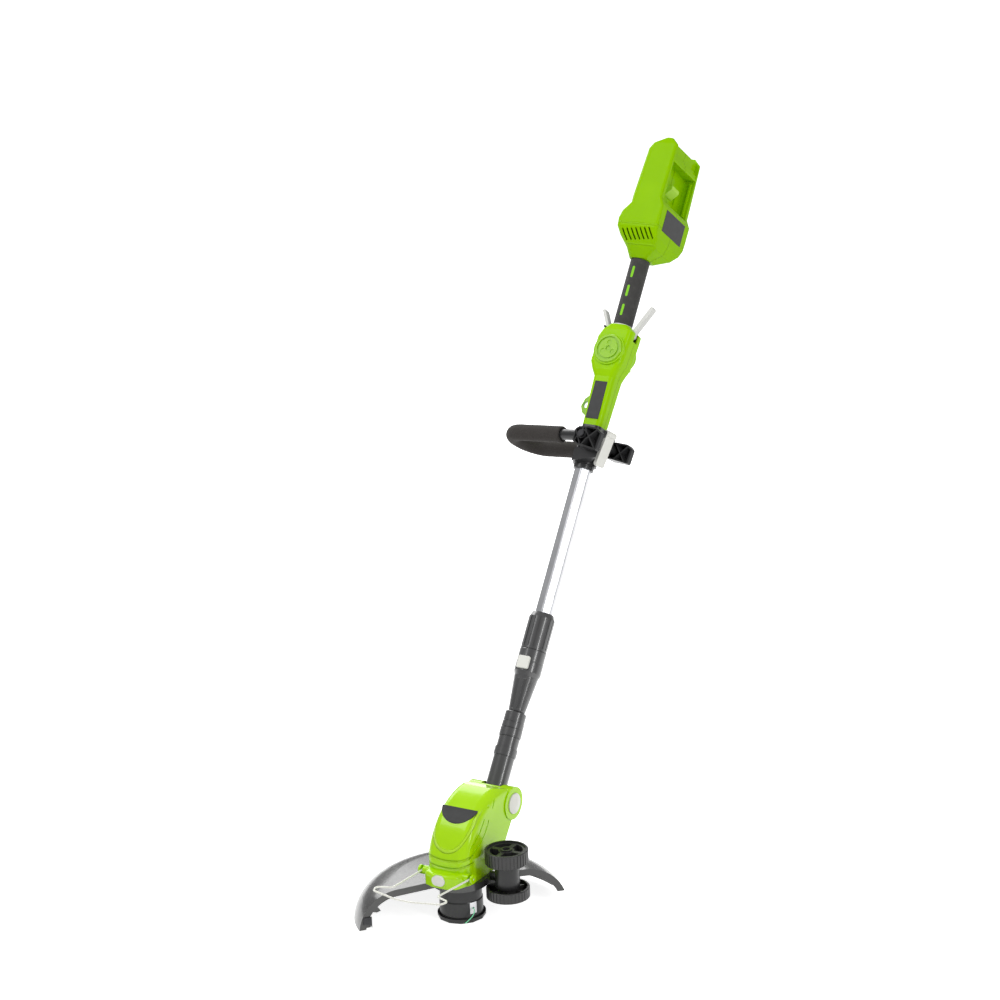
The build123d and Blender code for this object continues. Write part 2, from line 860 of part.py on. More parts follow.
def swivel_collar():
    """The ribbed collar over the joint where the head turns on the shaft."""
    low = lower_tube_end + body_gap
    inner = swivel_radius - swivel_wall
    collar = tube(swivel_radius, inner, low, swivel_end)
    collar += tube(swivel_ring_radius, inner, low + 1, low + 14)
    collar += tube(swivel_radius + 0.5, inner, low + 15.5, low + 25)
    collar -= tube(60, swivel_radius - 1.0, low + 14, low + 15.5)
    collar -= tube(60, swivel_radius - 1.0, low + 25, low + 26.5)
    cap = tube(swivel_radius - 0.5, inner_tube_radius + running_fit, swivel_end - 4 + body_gap, swivel_end)
    return chamfer((collar + cap).edges().group_by(Axis.Z)[-1], 0.8)


def inner_tube():
    return tube(inner_tube_radius, inner_tube_radius - inner_tube_wall, inner_tube_start, inner_tube_end)


def main_tube_form(radius, low, high):
    """A six-sided tube form with rounded corners."""
    outline = fillet(RegularPolygon(radius, 6).vertices(), 3)
    return Pos(0, 0, low) * Rot(Z=main_tube_turn - 90) * extrude(outline, high - low)


main_tube_flat = (main_tube_radius - main_tube_wall) * cos(radians(30))


def guide_bush():
    """The slider on the top of the inner tube that runs in the main tube."""
    low = inner_tube_end - bush_length
    slider = main_tube_form((main_tube_flat - body_gap) / cos(radians(30)), low, inner_tube_end)
    return slider - rod(inner_tube_radius + seat_gap / 2, low - 1, inner_tube_end + 1)


# ---------------------------------------------------------------- telescope lock


def main_tube():
    top = box_start - 4
    outer = main_tube_form(main_tube_radius, main_tube_start, top)
    return outer - main_tube_form(main_tube_radius - main_tube_wall, main_tube_start - 1, top + 1)


def tube_pocket(low, high):
    """The room that a piece leaves for the main tube."""
    return main_tube_form(main_tube_radius + seat_gap, low, high)


def taper_sleeve():
    """The tapered sleeve below the lock ring, with long slots round it."""
    low = swivel_end + body_gap
    sleeve = turned([
        (0, low), (taper_low_radius - 1, low), (taper_low_radius, low + 2),
        (taper_top_radius, lock_ring_start - seat_gap), (0, lock_ring_start - seat_gap),
    ])
    for step in range(10):
        slot = Pos(taper_low_radius + 5.6, 0, 185) * Rot(Y=6) * Box(3.2, 1.8, 36)
        sleeve -= Rot(Z=step * 36 + 18) * slot
    sleeve -= rod(inner_tube_radius + running_fit, 0, main_tube_start)
    sleeve -= tube_pocket(main_tube_start - seat_gap, 400)
    return sleeve


def lock_ring():
    """The two-step ring that carries the telescope's button."""
    low = lock_ring_start
    ring = turned([
        (0, low), (taper_top_radius - 0.3, low), (lock_ring_radius, low + 8),
        (lock_ring_radius, lock_ring_split - 0.6), (lock_ring_radius - 0.8, lock_ring_split),
        (lock_ring_radius - 0.3, lock_ring_split + 0.8), (lock_ring_radius - 0.3, nut_start - 1.6),
        (lock_ring_radius - 1.2, nut_start - body_gap), (0, nut_start - body_gap),
    ])
    ring += rod(main_tube_radius + 2.5, low, nut_end - 6)
    ring -= tube_pocket(0, 400)
    size = lock_button_size / 2 + body_gap
    room = block(-size, size, -60, -main_tube_radius - 1.8,
                 lock_button_centre - size, lock_button_centre + size)
    return ring - room


def lock_button():
    size = lock_button_size / 2
    face = main_tube_radius + 1.8 + lock_button_travel + body_gap
    button = block(-size, size, -lock_ring_radius - 2.2, -face,
                   lock_button_centre - size, lock_button_centre + size)
    button = fillet(button.edges().filter_by(Axis.Y), 3)
    return fillet(button.edges().group_by(Axis.Y)[0], 1.5)


def twist_nut():
    """The grooved nut that is twisted by hand to clamp the telescope."""
    nut = rod(nut_radius, nut_start, nut_end)
    nut = chamfer(nut.edges().group_by(Axis.Z)[-1], 9, 4.4)
    nut -= rod(main_tube_radius + 2.5 + running_fit, 0, nut_end - 6 + body_gap)
    nut -= rod(main_tube_radius + body_gap, 0, 400)
    for step in range(nut_grooves):
        groove = block(nut_radius - 0.9, nut_radius + 2, -1.0, 1.0, nut_start + 4, nut_end - 8)
        nut -= Rot(Z=step * 360 / nut_grooves) * groove
    return nut


# ---------------------------------------------------------------- front handle


def at_handle(shape):
    """Turns a shape about the shaft to the angle at which the handle is clamped."""
    return Rot(Z=handle_turn) * shape


def clamp_gusset():
    """The smooth wedge below the near ear that runs from the tube to the lever."""
    near = 0.45 * clamp_half_width
    plan = [
        (-7, -clamp_half_width), (ear_near_x - 7, -clamp_half_width),
        (handle_axis_x + 4, -near), (-7, -near),
    ]
    side = [
        (-7, clamp_start), (ear_near_x - 7, clamp_start + 7), (ear_near_x - 7, clamp_start + 24),
        (-7, clamp_start + 24),
    ]
    wedge = Pos(0, 0, clamp_start - 5) * extrude(make_face(Polyline(plan, close=True)), 40)
    return wedge & prism_y(side, clamp_half_width)


def lever_recess():
    """The straight channel in the clamp that the lever lies in."""
    back = cam_x - lever_length * sin(radians(lever_lean)) - lever_thickness / 2 - 1.5
    half_width = lever_width / 2 + body_gap
    return block(back, 90, -half_width, half_width, clamp_start - 20, clamp_end + 20)


def handle_clamp():
    """The clamp round the tube, with the boss in front that the handle's ears turn on."""
    body = rod(clamp_radius, clamp_start, clamp_end)
    body += rod(main_tube_radius + 2.2, clamp_start - 8, clamp_start)
    body += rod_y(9, -clamp_half_width, clamp_half_width, handle_axis_x, handle_centre)
    core = clamp_half_width - 8
    body += block(-6, handle_axis_x, -core, core, handle_centre - 18, clamp_end)
    body += clamp_gusset()
    cheek = lever_width / 2 + 3.5
    cheek_top = clamp_end + 1 - seat_gap
    body += block(handle_axis_x - 4, cam_x + 1, -cheek, cheek, cam_z - 8, cheek_top)
    body += block(cam_x - 5, cam_x + 1, -cheek, cheek, cam_z - 8, cam_z + 4)
    body = at_handle(body)
    body -= tube_pocket(0, 2000)
    slit = block(0, 120, -1.0, 1.0, clamp_start - 20, clamp_end + 20)
    bolt = rod_y(handle_bolt_radius + seat_gap / 2, -60, 60, handle_axis_x, handle_centre)
    pin = rod_y(lever_pin_radius + seat_gap / 2, -60, 60, cam_x, cam_z)
    reach = lever_width / 2 + body_gap
    cam = rod_y(cam_radius + body_gap, -reach, reach, cam_x, cam_z)
    return body - at_handle(slit + lever_recess() + cam) - at_handle(bolt + pin)


def handle_bolt():
    """The cross bolt, with a round head outside each ear."""
    bolt = rod_y(handle_bolt_radius, -ear_outer - 1, ear_outer + 1, handle_axis_x, handle_centre)
    bolt += rod_y(6.5, ear_outer + body_gap, ear_outer + 4, handle_axis_x, handle_centre)
    bolt += rod_y(6.5, -ear_outer - 4, -ear_outer - body_gap, handle_axis_x, handle_centre)
    return at_handle(bolt)


def ear_form(face_y, front, drop):
    """One ribbed ear of the handle frame, whose pocket opens towards -y at face_y."""
    depth = ear_outer - ear_inner
    back = ear_back_x
    low = handle_centre - drop
    high = handle_centre + ear_high
    outline = [
        (back, low + 12), (back, high - 6), (back + 8, high - 1), (front - 9, high),
        (front, high - 7), (front - 2, low), (back + 14, low + 4),
    ]
    side = fillet(make_face(Polyline(outline, close=True)).vertices(), 3.5)
    plan = [
        (back, 0), (handle_axis_x + 10, 0), (front, ear_bevel), (front, depth), (back, depth),
    ]
    prism = extrude(make_face(Polyline(plan, close=True)), 200)
    ear = (Pos(0, depth, 0) * extrude(Plane.XZ * side, depth)) & (Pos(0, 0, low - 20) * prism)
    floor = depth - ear_wall
    pocket = Pos(0, floor, 0) * extrude(Plane.XZ * offset(side, -ear_wall), floor + 5)
    ribs = rod_y(8.5, 0, depth, handle_axis_x, handle_centre)
    for middle in (handle_axis_x - 9, front - 17):
        for slope in (32, -32):
            ribs += Pos(middle, depth / 2, handle_centre - 4) * Rot(Y=slope) * Box(1.8, depth, 80)
    ear -= pocket - ribs
    hole = rod_y(handle_bolt_radius + running_fit, -1, depth + 1, handle_axis_x, handle_centre)
    return Pos(0, face_y, 0) * (ear - hole)


def handle_path():
    """The middle line of the bow, from one ear round to the other."""
    side = (ear_inner + ear_outer) / 2
    end_x = -handle_reach + foam_radius
    points = [
        (ear_back_x + 4, side, handle_centre), (end_x, side, handle_centre),
        (end_x, -side, handle_centre), (ear_back_x + 4, -side, handle_centre),
    ]
    return FilletPolyline(*points, radius=side - 4)


def handle_frame():
    path = handle_path()
    section = Plane(origin=path @ 0, z_dir=path % 0) * Circle(handle_tube_radius)
    near_ear = ear_form(-ear_outer, ear_near_x, ear_near_drop)
    far_ear = ear_form(ear_inner, ear_far_x, ear_far_drop)
    return at_handle(sweep(section, path=path) + near_ear + far_ear)


def foam_grip():
    """The soft sleeve over the bow."""
    path = handle_path()
    outer = sweep(Plane(origin=path @ 0, z_dir=path % 0) * Circle(foam_radius), path=path)
    inner = sweep(Plane(origin=path @ 0, z_dir=path % 0) * Circle(handle_tube_radius + seat_gap), path=path)
    sleeve = outer - inner
    return at_handle(sleeve & block(-400, foam_start_x, -200, 200, 0, 1000))


def cam_lever():
    """The quick-release lever that lies along the shaft in front of the clamp."""
    half_width = lever_width / 2
    half_depth = lever_thickness / 2
    blade = block(-half_depth, half_depth, -half_width, half_width, -lever_length, 0)
    blade = fillet(blade.edges().filter_by(Axis.X).group_by(Axis.Z)[0], 5)
    lever = Rot(Y=lever_lean) * blade + rod_y(cam_radius, -half_width, half_width)
    lever -= rod_y(lever_pin_radius + running_fit, -20, 20)
    return at_handle(Pos(cam_x, 0, cam_z) * lever)


# ---------------------------------------------------------------- switch housing


def rounded_prism(side_x, side_y, corner):
    return fillet(Rectangle(2 * side_x, 2 * side_y).vertices(), corner)


def station_form(stations, inset, back_corner, front_corner):
    """A body through rounded sections given as (z, least x, greatest x, half width), less an inset."""
    sections = []
    for z, low, high, side in stations:
        section = Rectangle(high - low - 2 * inset, 2 * (side - inset))
        back_round = min(back_corner, 0.45 * (high - low)) - inset
        section = fillet(section.vertices().group_by(Axis.X)[0], back_round)
        section = fillet(section.vertices().group_by(Axis.X)[-1], front_corner - inset)
        sections.append(Pos((low + high) / 2, 0, z) * section)
    return Part() + [loft([lower, upper], ruled=True) for lower, upper in zip(sections, sections[1:])]


def sleeve_form():
    low = Pos(0, 0, sleeve_start) * rounded_prism(sleeve_half, sleeve_half, sleeve_round)
    high = Pos(0, 0, box_start + 6) * rounded_prism(sleeve_half_top, sleeve_half_top, sleeve_round)
    return loft([low, high])


box_stations = [
    (box_start - 5, -20.6, 20.6, 20.6), (box_start + 6, -27, 23, 22.5),
    (box_start + 20, -33, 28.5, box_half_side), (box_end - 26, -32, 32, box_half_side),
    (box_end - 11, -26, 33, box_half_side - 1), (box_end, -18, 19, 17.5),
]


def switch_box(inset):
    return station_form(box_stations, inset, sleeve_round, sleeve_round)


def trigger_room():
    """The opening in the housing that the trigger comes out of."""
    half_width = trigger_width / 2 + 1
    return block(grip_radius + 1.6, 60, -half_width, half_width, box_end - 26, box_end + 10)


def lockoff_room():
    """The opening in the housing that the lock-off lever comes out of."""
    half_width = lockoff_width / 2 + 1
    return block(-60, -grip_radius - 0.4, -half_width, half_width, box_end - 18, box_end + 10)


def switch_housing():
    form = sleeve_form() + switch_box(0)
    rim = box_half_side + dial_height - 1
    form += rod_y(dial_radius + 3, -rim, rim, 0, dial_centre)
    form += rod(grip_core_radius, box_end - 1, grip_end + 6)
    room = switch_box(shell_wall)
    form -= room & block(-100, 100, -100, 100, box_start + 2, box_end - 3.5)
    form -= tube_pocket(0, box_start - 4 + seat_gap)
    form -= rod(grip_core_radius - 2.6, box_end - 6, grip_end + 10)
    form -= rod_y(dial_radius + seat_gap, box_half_side + 0.5, 60, 0, dial_centre)
    form -= rod_y(dial_radius + seat_gap, -60, -box_half_side - 0.5, 0, dial_centre)
    form -= trigger_room() + lockoff_room()
    strip_half = strip_width / 2 + 0.1
    form -= block(-strip_half, strip_half, -60, -strip_depth(), strip_start, strip_end)
    form -= eye_slot()
    shelf = box_half_side - 1
    form += block(-12, -6 - seat_gap, -shelf, shelf, dial_centre + 6, dial_centre + 28)
    for x, z in switch_screw_places():
        form += rod_y(4, -shelf, shelf, x, z)
        form -= rod_y(3.2, box_half_side - 2.2, 60, x, z) + rod_y(1.7, -10, 60, x, z)
    for x, z in ((trigger_pin_x, trigger_pin_z), (lockoff_pin_x, lockoff_pin_z)):
        pin_room = box_half_side - 1.2
        form -= rod_y(lever_pin_radius + seat_gap / 2, -pin_room, pin_room, x, z)
    return form


def strip_depth():
    """The depth of the flat pocket for the side strip."""
    return sleeve_half + 0.2


trigger_pin_x = 24.0
trigger_pin_z = box_end - 14.0
lockoff_pin_x = -22.0
lockoff_pin_z = box_end - 8.0


def switch_screw_places():
    return ((-26, box_start + 24), (22, box_start + 22))


def handle_screws():
    """The screws that hold the two halves of the switch and battery housings together."""
    switch_head = box_half_side - 2
    battery_head = battery_half_side - 11.8
    screws = []
    for x, z in switch_screw_places():
        head = rod_y(3, switch_head, switch_head + 1.8, x, z)
        screws.append(head + rod_y(1.6, -9, switch_head + 1, x, z))
    for x, z in battery_screw_places():
        head = rod_y(3.1, battery_head, battery_head + 2.3, x, z)
        screws.append(head + rod_y(1.6, -11, battery_head + 1, x, z))
    return Compound(children=screws)


def eye_slot():
    """The slit in the sleeve that the strap eye's foot is held in."""
    half = eye_thickness / 2 + 0.05
    return block(-eye_reach, -main_tube_radius - 1.5, -half, half, eye_start + 3, eye_end - 3)


def strap_eye():
    """A D-shaped lug on the sleeve for the shoulder strap's hook."""
    foot = main_tube_radius + 1.6
    shoulder = sleeve_half + 2
    outline = [
        (-foot, eye_start + 3.1), (-shoulder, eye_start + 3.1), (-shoulder, eye_start),
        (-eye_reach + 5, eye_start + 7), (-eye_reach, eye_start + 18), (-eye_reach + 4, eye_end - 12),
        (-shoulder, eye_end), (-shoulder, eye_end - 3.1), (-foot, eye_end - 3.1),
    ]
    lug = prism_y(outline, eye_thickness / 2)
    hole_x = -eye_reach + eye_hole_radius + 3
    return lug - rod_y(eye_hole_radius, -20, 20, hole_x, (eye_start + eye_end) / 2)


def end_ring():
    """The dark ring between the handle's clamp and the sleeve."""
    low = clamp_end + 1
    section = rounded_prism(sleeve_half, sleeve_half, sleeve_round)
    ring = Pos(0, 0, low) * extrude(section, sleeve_start - low - seat_gap)
    ring = chamfer(ring.edges().group_by(Axis.Z)[0], 1.5)
    return ring - tube_pocket(0, 2000)


def side_strip():
    half_width = strip_width / 2
    depth = strip_depth()
    return block(-half_width, half_width, -depth - plate_thickness, -depth - seat_gap / 2,
                 strip_start + 0.1, strip_end - 0.1)


def side_cap(sign):
    """The round cap on one side of the switch housing, dished, with three lobes."""
    back = box_half_side + 0.6
    front = box_half_side + dial_height + 1.5
    cap = rod_y(dial_radius, back, front, 0, dial_centre)
    cap = chamfer(cap.edges().group_by(Axis.Y)[-1], 1.2)
    cap -= rod_y(dial_radius - 4, front - 2, front + 2, 0, dial_centre)
    cap += rod_y(dial_radius - 8, back, front - 0.3, 0, dial_centre)
    cap -= rod_y(5, front - 2.2, front + 2, 0, dial_centre)
    for step in range(3):
        turn = radians(90 + 120 * step)
        cap -= rod_y(4.2, front - 1.4, front + 2, 11 * cos(turn), dial_centre + 11 * sin(turn))
    return cap if sign > 0 else mirror(cap, Plane.XZ)


def micro_switch():
    body = block(-6, 8, -6, 6, dial_centre + 8, dial_centre + 26)
    return body + block(8, 10, -2, 2, dial_centre + 12, dial_centre + 18)


def lever_blade(length, width, splay, thickness, pin_x, pin_z):
    """A lever that leaves its pin and leans away from the grip by splay towards +x."""
    arm = block(-thickness / 2, thickness / 2, -width / 2, width / 2, 0, length)
    arm = fillet(arm.edges().group_by(Axis.Z)[-1], thickness / 2 - 0.3)
    hub = rod_y(lever_pin_radius + 3, -width / 2, width / 2)
    arm += hub
    arm -= rod_y(lever_pin_radius + running_fit, -50, 50)
    return Pos(pin_x, 0, pin_z) * Rot(Y=splay) * arm


def trigger():
    return lever_blade(trigger_length, trigger_width, trigger_splay, 7, trigger_pin_x, trigger_pin_z)


def lock_off():
    return lever_blade(lockoff_length, lockoff_width, -lockoff_splay, 5, lockoff_pin_x, lockoff_pin_z)


def lever_pins():
    """The pins of the trigger, the lock-off lever and the clamp's cam lever."""
    reach = box_half_side - 1.4
    pins = [rod_y(lever_pin_radius, -reach, reach, x, z)
            for x, z in ((trigger_pin_x, trigger_pin_z), (lockoff_pin_x, lockoff_pin_z))]
    cam_reach = lever_width / 2 + 3
    pins.append(at_handle(rod_y(lever_pin_radius, -cam_reach, cam_reach, cam_x, cam_z)))
    return Compound(children=pins)


# ---------------------------------------------------------------- rear grip


def grip_ring():
    return tube(grip_radius + 0.2, grip_core_radius + seat_gap, box_end + seat_gap, grip_start - seat_gap)


def inlay_form(grow, low, high):
    """The three inlay bars on the forward side of the grip, between two radii."""
    bars = []
    for step in range(3):
        z = inlay_first + step * inlay_pitch
        slot = SlotOverall(inlay_length + 2 * grow, inlay_width + 2 * grow, rotation=90)
        bars.append(Pos(0, 0, z) * extrude(Plane.XZ * slot, 60))
    shape = Part() + bars
    return shape & tube(high, low, grip_start - 2, grip_end + 2)


def rubber_grip():
    sleeve = tube(grip_radius, grip_core_radius + seat_gap, grip_start, grip_end)
    sleeve = fillet(sleeve.edges().group_by(Axis.Z)[0].sort_by(SortBy.LENGTH)[-1], 0.8)
    return sleeve - inlay_form(0.05, grip_radius - 1.3, grip_radius + 5)


def grip_inlays():
    return inlay_form(0, grip_radius - 1.2, grip_radius + 0.25)


# ---------------------------------------------------------------- battery housing


battery_stations = [
    (grip_end + 1, -18, 19, 18), (grip_end + 15, -20, 40, 34), (grip_end + 31, -30, 45, 49),
    (grip_end + 45, -36.5, plate_face_x, battery_half_side - 1.5),
    (grip_end + 59, -37, plate_face_x, battery_half_side),
    (grip_end + 72, -33.5, plate_face_x, battery_half_side),
    (grip_end + 89, -20.5, plate_face_x, battery_half_side),
    (grip_end + 103, -21, 38, battery_half_side - 0.5),
    (battery_top - 22, -18, 38, battery_half_side - 5),
    (battery_top - 11, -12, 38, battery_half_side - 6), (battery_top, 10, 26, battery_half_side - 9),
]


def battery_form(inset):
    """The battery housing's outer form, or with an inset the room inside it."""
    return station_form(battery_stations, inset, battery_round, battery_edge_round)


def battery_bay():
    """The recess in the lower face that the battery slides into."""
    return block(bay_floor_x, 90, -bay_half_side, bay_half_side, bay_start, bay_end)


def bay_top():
    """The steps in the bar above the bay, which stands back between the two side walls."""
    front = battery_stations[-2][2]
    steps = Part()
    for step in range(3):
        x = front - 3 * step - 1.5
        steps += block(x, 90, -bay_half_side, bay_half_side, bay_end + 4 + 6 * step, battery_top + 5)
    low = battery_top - bay_top_step
    return steps + block(-60, 90, -bay_half_side, bay_half_side, low, battery_top + 5)


def vent_slots():
    """A row of slanting slots through both sides of the housing."""
    cut = Part()
    for step in range(vent_count):
        x = (step - (vent_count - 1) / 2) * vent_pitch + 8
        z = grip_end + 33 + 0.1 * x
        for side in (1, -1):
            cut += Pos(x, side * 52, z) * Rot(Y=-vent_slant) * Box(vent_width, 30, vent_length)
    return cut


def battery_housing():
    form = battery_form(0)
    wall = bay_half_side + 3
    floor = block(bay_floor_x - 3, 90, -wall, wall, bay_start - 3, battery_top)
    room = battery_form(shell_wall) - floor
    room &= block(-200, 200, -200, 200, grip_end + 12, battery_top - bay_top_step - shell_wall)
    form -= room
    form -= battery_bay() + bay_top()
    form += battery_rails()
    form -= block(bay_floor_x - 2, bay_floor_x + 1, 18, 26, contact_z - 4, contact_z + 22)
    form -= vent_slots()
    form -= rod(grip_core_radius + seat_gap, grip_start, grip_end + 6 + seat_gap)
    form -= rod(grip_core_radius - 2.6, grip_start, grip_end + 20)
    label = rating_half_side + 0.1
    form -= block(plate_face_x - 0.6, 90, -label, label, rating_start - 0.1, rating_end + 0.1)
    posts = battery_form(1)
    for y in (-22, 22):
        form += rod_x(4, -60, board_x - seat_gap, y, bay_start + 20) & posts
    for x, z in battery_screw_places():
        form += rod_y(4.5, -200, 200, x, z) & posts
        form -= rod_y(3.3, battery_half_side - 12, 90, x, z) + rod_y(1.7, -12, 90, x, z)
    room = contact_half_width + seat_gap
    form -= block(bay_floor_x - 10, bay_floor_x + 1, -room, room,
                  contact_z - seat_gap, contact_z + contact_height + seat_gap)
    return form


def battery_screw_places():
    return ((-22, grip_end + 65), (0, battery_top - 22))


def rating_plate():
    half = rating_half_side
    return block(plate_face_x - 0.5, plate_face_x + 0.4, -half, half, rating_start, rating_end)


def battery_rails():
    """Two rails on the bay's side walls that the battery's feet slide on."""
    rails = Part()
    for sign in (1, -1):
        inner, outer = sign * (bay_half_side - 4), sign * (bay_half_side + 1)
        rails += block(bay_floor_x + 12, bay_floor_x + 15, inner, outer, bay_start + 8, bay_end - 6)
    return rails


contact_z = bay_start + 25


def contact_places():
    """Where the four contacts stand across the block."""
    return (-9, -3, 3, 9)


def contact_block():
    """The raised block with a ramp on its lower side and slots for the battery's contacts."""
    face = bay_floor_x + contact_reach
    top = contact_z + contact_height
    outline = [
        (bay_floor_x - 8, contact_z), (bay_floor_x + 1, contact_z),
        (face, contact_z + contact_reach), (face, top), (bay_floor_x - 8, top),
    ]
    body = prism_y(outline, contact_half_width)
    for y in contact_places():
        body -= block(bay_floor_x - 6, face - 4, y - 1.2, y + 1.2, contact_z + 10, top + 2)
    return body


def contact_blades():
    low = contact_z + 10 + seat_gap
    high = contact_z + contact_height - 1
    blades = [block(bay_floor_x - 5.9, bay_floor_x + 6, y - 0.5, y + 0.5, low, high)
              for y in contact_places()]
    return Compound(children=blades)


board_x = -9.0


def controller_board():
    return block(board_x, board_x + 1.6, -30, 30, bay_start - 18, bay_start + 60)


def build():
    """Makes every node in the row's frame."""
    keep("spool_cap", spool_cap())
    keep("spool_drum", spool_drum())
    keep("line_eyelet", line_eyelet())
    keep("line_reel", line_reel())
    keep("wound_line", wound_line())
    keep("motor_spindle", motor_spindle())
    keep("motor_rotor", motor_rotor())
    keep("cutting_line", cutting_line())

    keep("guard_shell", guard_shell())
    keep("guard_screws", guard_screws())
    keep("line_cutter", line_cutter())

    posts = screw_posts(False) & housing_form(0.5) - rod(motor_radius + 1, 70, 150)
    whole = motor_housing() + posts - screw_posts(True)
    keep("motor_housing_left", half(whole, 0, 1))
    keep("motor_housing_right", half(whole, 0, -1))
    keep("badge_plate", badge_plate())
    keep("motor_can", motor_can())
    keep("motor_bearings", motor_bearings())
    keep("housing_screws", housing_screws())
    keep("pivot_pin", pivot_pin())
    keep("pivot_button", pivot_button())
    keep("button_springs", button_springs())
    keep("front_button", front_button())
    keep("wire_bow", wire_bow())

    keep("roller_bracket", roller_bracket())
    keep("roller_axle", roller_axle())
    keep("lower_wheel", lower_wheel())
    keep("upper_wheel", upper_wheel())

    keep("lower_tube", on_shaft(lower_tube()))
    keep("swivel_collar", on_shaft(swivel_collar()))
    keep("inner_tube", on_shaft(inner_tube()))
    keep("guide_bush", on_shaft(guide_bush()))

    keep("main_tube", on_shaft(main_tube()))
    keep("taper_sleeve", on_shaft(taper_sleeve()))
    keep("lock_ring", on_shaft(lock_ring()))
    keep("lock_button", on_shaft(lock_button()))
    keep("twist_nut", on_shaft(twist_nut()))

    keep("handle_clamp", on_shaft(handle_clamp()))
    keep("handle_bolt", on_shaft(handle_bolt()))
    keep("handle_frame", on_shaft(handle_frame()))
    keep("foam_grip", on_shaft(foam_grip()))
    keep("cam_lever", on_shaft(cam_lever()))

    switch = switch_housing()
    keep("switch_housing_left", on_shaft(half(switch, 1, -1)))
    keep("switch_housing_right", on_shaft(half(switch, 1, 1)))
    keep("end_ring", on_shaft(end_ring()))
    keep("strap_eye", on_shaft(strap_eye()))
    keep("side_strip", on_shaft(side_strip()))
    keep("side_caps", on_shaft(Compound(children=[side_cap(-1), side_cap(1)])))
    keep("handle_screws", on_shaft(handle_screws()))
    keep("micro_switch", on_shaft(micro_switch()))
    keep("trigger", on_shaft(trigger()))
    keep("lock_off", on_shaft(lock_off()))
    keep("lever_pins", on_shaft(lever_pins()))

    keep("grip_ring", on_shaft(grip_ring()))
    keep("rubber_grip", on_shaft(rubber_grip()))
    keep("grip_inlays", on_shaft(grip_inlays()))

    battery = battery_housing()
    keep("battery_housing_left", on_shaft(half(battery, 1, -1)))
    keep("battery_housing_right", on_shaft(half(battery, 1, 1)))
    keep("rating_plate", on_shaft(rating_plate()))
    keep("controller_board", on_shaft(controller_board()))
    keep("battery_contacts", on_shaft(contact_blades()))
    keep("contact_block", on_shaft(contact_block()))


os.makedirs("parts", exist_ok=True)
build()
for name, shape in nodes.items():
    export_step(shape, "parts/" + name + ".step")
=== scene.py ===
"""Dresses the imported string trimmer: its finishes, the foam sleeve, the cutting line and the studio."""

import logging
import math
from dataclasses import dataclass
from enum import Enum

import bmesh
import bpy
from mathutils import Matrix, Vector


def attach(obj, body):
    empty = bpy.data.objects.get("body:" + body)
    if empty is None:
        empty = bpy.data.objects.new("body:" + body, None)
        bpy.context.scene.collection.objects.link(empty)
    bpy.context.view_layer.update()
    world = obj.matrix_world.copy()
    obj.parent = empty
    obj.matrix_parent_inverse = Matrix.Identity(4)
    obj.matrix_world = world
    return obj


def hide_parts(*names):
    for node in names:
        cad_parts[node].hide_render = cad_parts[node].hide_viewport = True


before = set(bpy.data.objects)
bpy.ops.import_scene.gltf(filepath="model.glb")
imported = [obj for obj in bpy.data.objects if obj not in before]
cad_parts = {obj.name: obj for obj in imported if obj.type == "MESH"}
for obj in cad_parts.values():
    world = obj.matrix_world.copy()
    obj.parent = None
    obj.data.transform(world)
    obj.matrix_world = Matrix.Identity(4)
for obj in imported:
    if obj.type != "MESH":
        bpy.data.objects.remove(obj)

log = logging.getLogger("trimmer")
Colour = tuple[float, float, float, float]
MM = 0.001
WHITE: Colour = (1.0, 1.0, 1.0, 1.0)


def from_screen(red: int, green: int, blue: int) -> Colour:
    """Turn a colour as a screen shows it into the linear one that a shader takes.

    Args:
        red: Red, 0 to 255.
        green: Green, 0 to 255.
        blue: Blue, 0 to 255.

    Returns:
        The linear colour with full alpha.
    """
    shares = [channel / 255 for channel in (red, green, blue)]
    light = [share / 12.92 if share <= 0.04045 else ((share + 0.055) / 1.055) ** 2.4 for share in shares]
    return (light[0], light[1], light[2], 1.0)


# ------------------------------------------------------------------ shader tools


class Value:
    """A number inside a shader, wrapped so that its sums read as Python."""

    def __init__(self, graph: "Graph", socket: bpy.types.NodeSocket) -> None:
        """Keep the graph and the socket that the number comes from."""
        self.graph = graph
        self.socket = socket

    def __add__(self, other: "Value | float") -> "Value":
        """Add a number."""
        return self.graph.maths("ADD", self, other)

    __radd__ = __add__

    def __sub__(self, other: "Value | float") -> "Value":
        """Take a number away."""
        return self.graph.maths("SUBTRACT", self, other)

    def __rsub__(self, other: float) -> "Value":
        """Take this from a number."""
        return self.graph.maths("SUBTRACT", other, self)

    def __mul__(self, other: "Value | float") -> "Value":
        """Multiply by a number."""
        return self.graph.maths("MULTIPLY", self, other)

    __rmul__ = __mul__

    def __truediv__(self, other: "Value | float") -> "Value":
        """Divide by a number."""
        return self.graph.maths("DIVIDE", self, other)

    def __pow__(self, other: float) -> "Value":
        """Raise to a power."""
        return self.graph.maths("POWER", self, other)

    def __abs__(self) -> "Value":
        """Drop the sign."""
        return self.graph.maths("ABSOLUTE", self)

    def least(self, other: "Value | float") -> "Value":
        """Take the smaller of two numbers."""
        return self.graph.maths("MINIMUM", self, other)

    def most(self, other: "Value | float") -> "Value":
        """Take the larger of two numbers."""
        return self.graph.maths("MAXIMUM", self, other)

    def sine(self) -> "Value":
        """Take the sine of an angle in radians."""
        return self.graph.maths("SINE", self)

    def between(self, start: float, end: float) -> "Value":
        """Rise smoothly from 0 at start to 1 at end, where start may be the larger.

        Args:
            start: The number that gives 0.
            end: The number that gives 1.

        Returns:
            The share from 0 to 1.
        """
        node = self.graph.node(
            "ShaderNodeMapRange",
            {"interpolation_type": "SMOOTHSTEP"},
            {"Value": self, "From Min": start, "From Max": end},
        )
        return Value(self.graph, node.outputs[0])


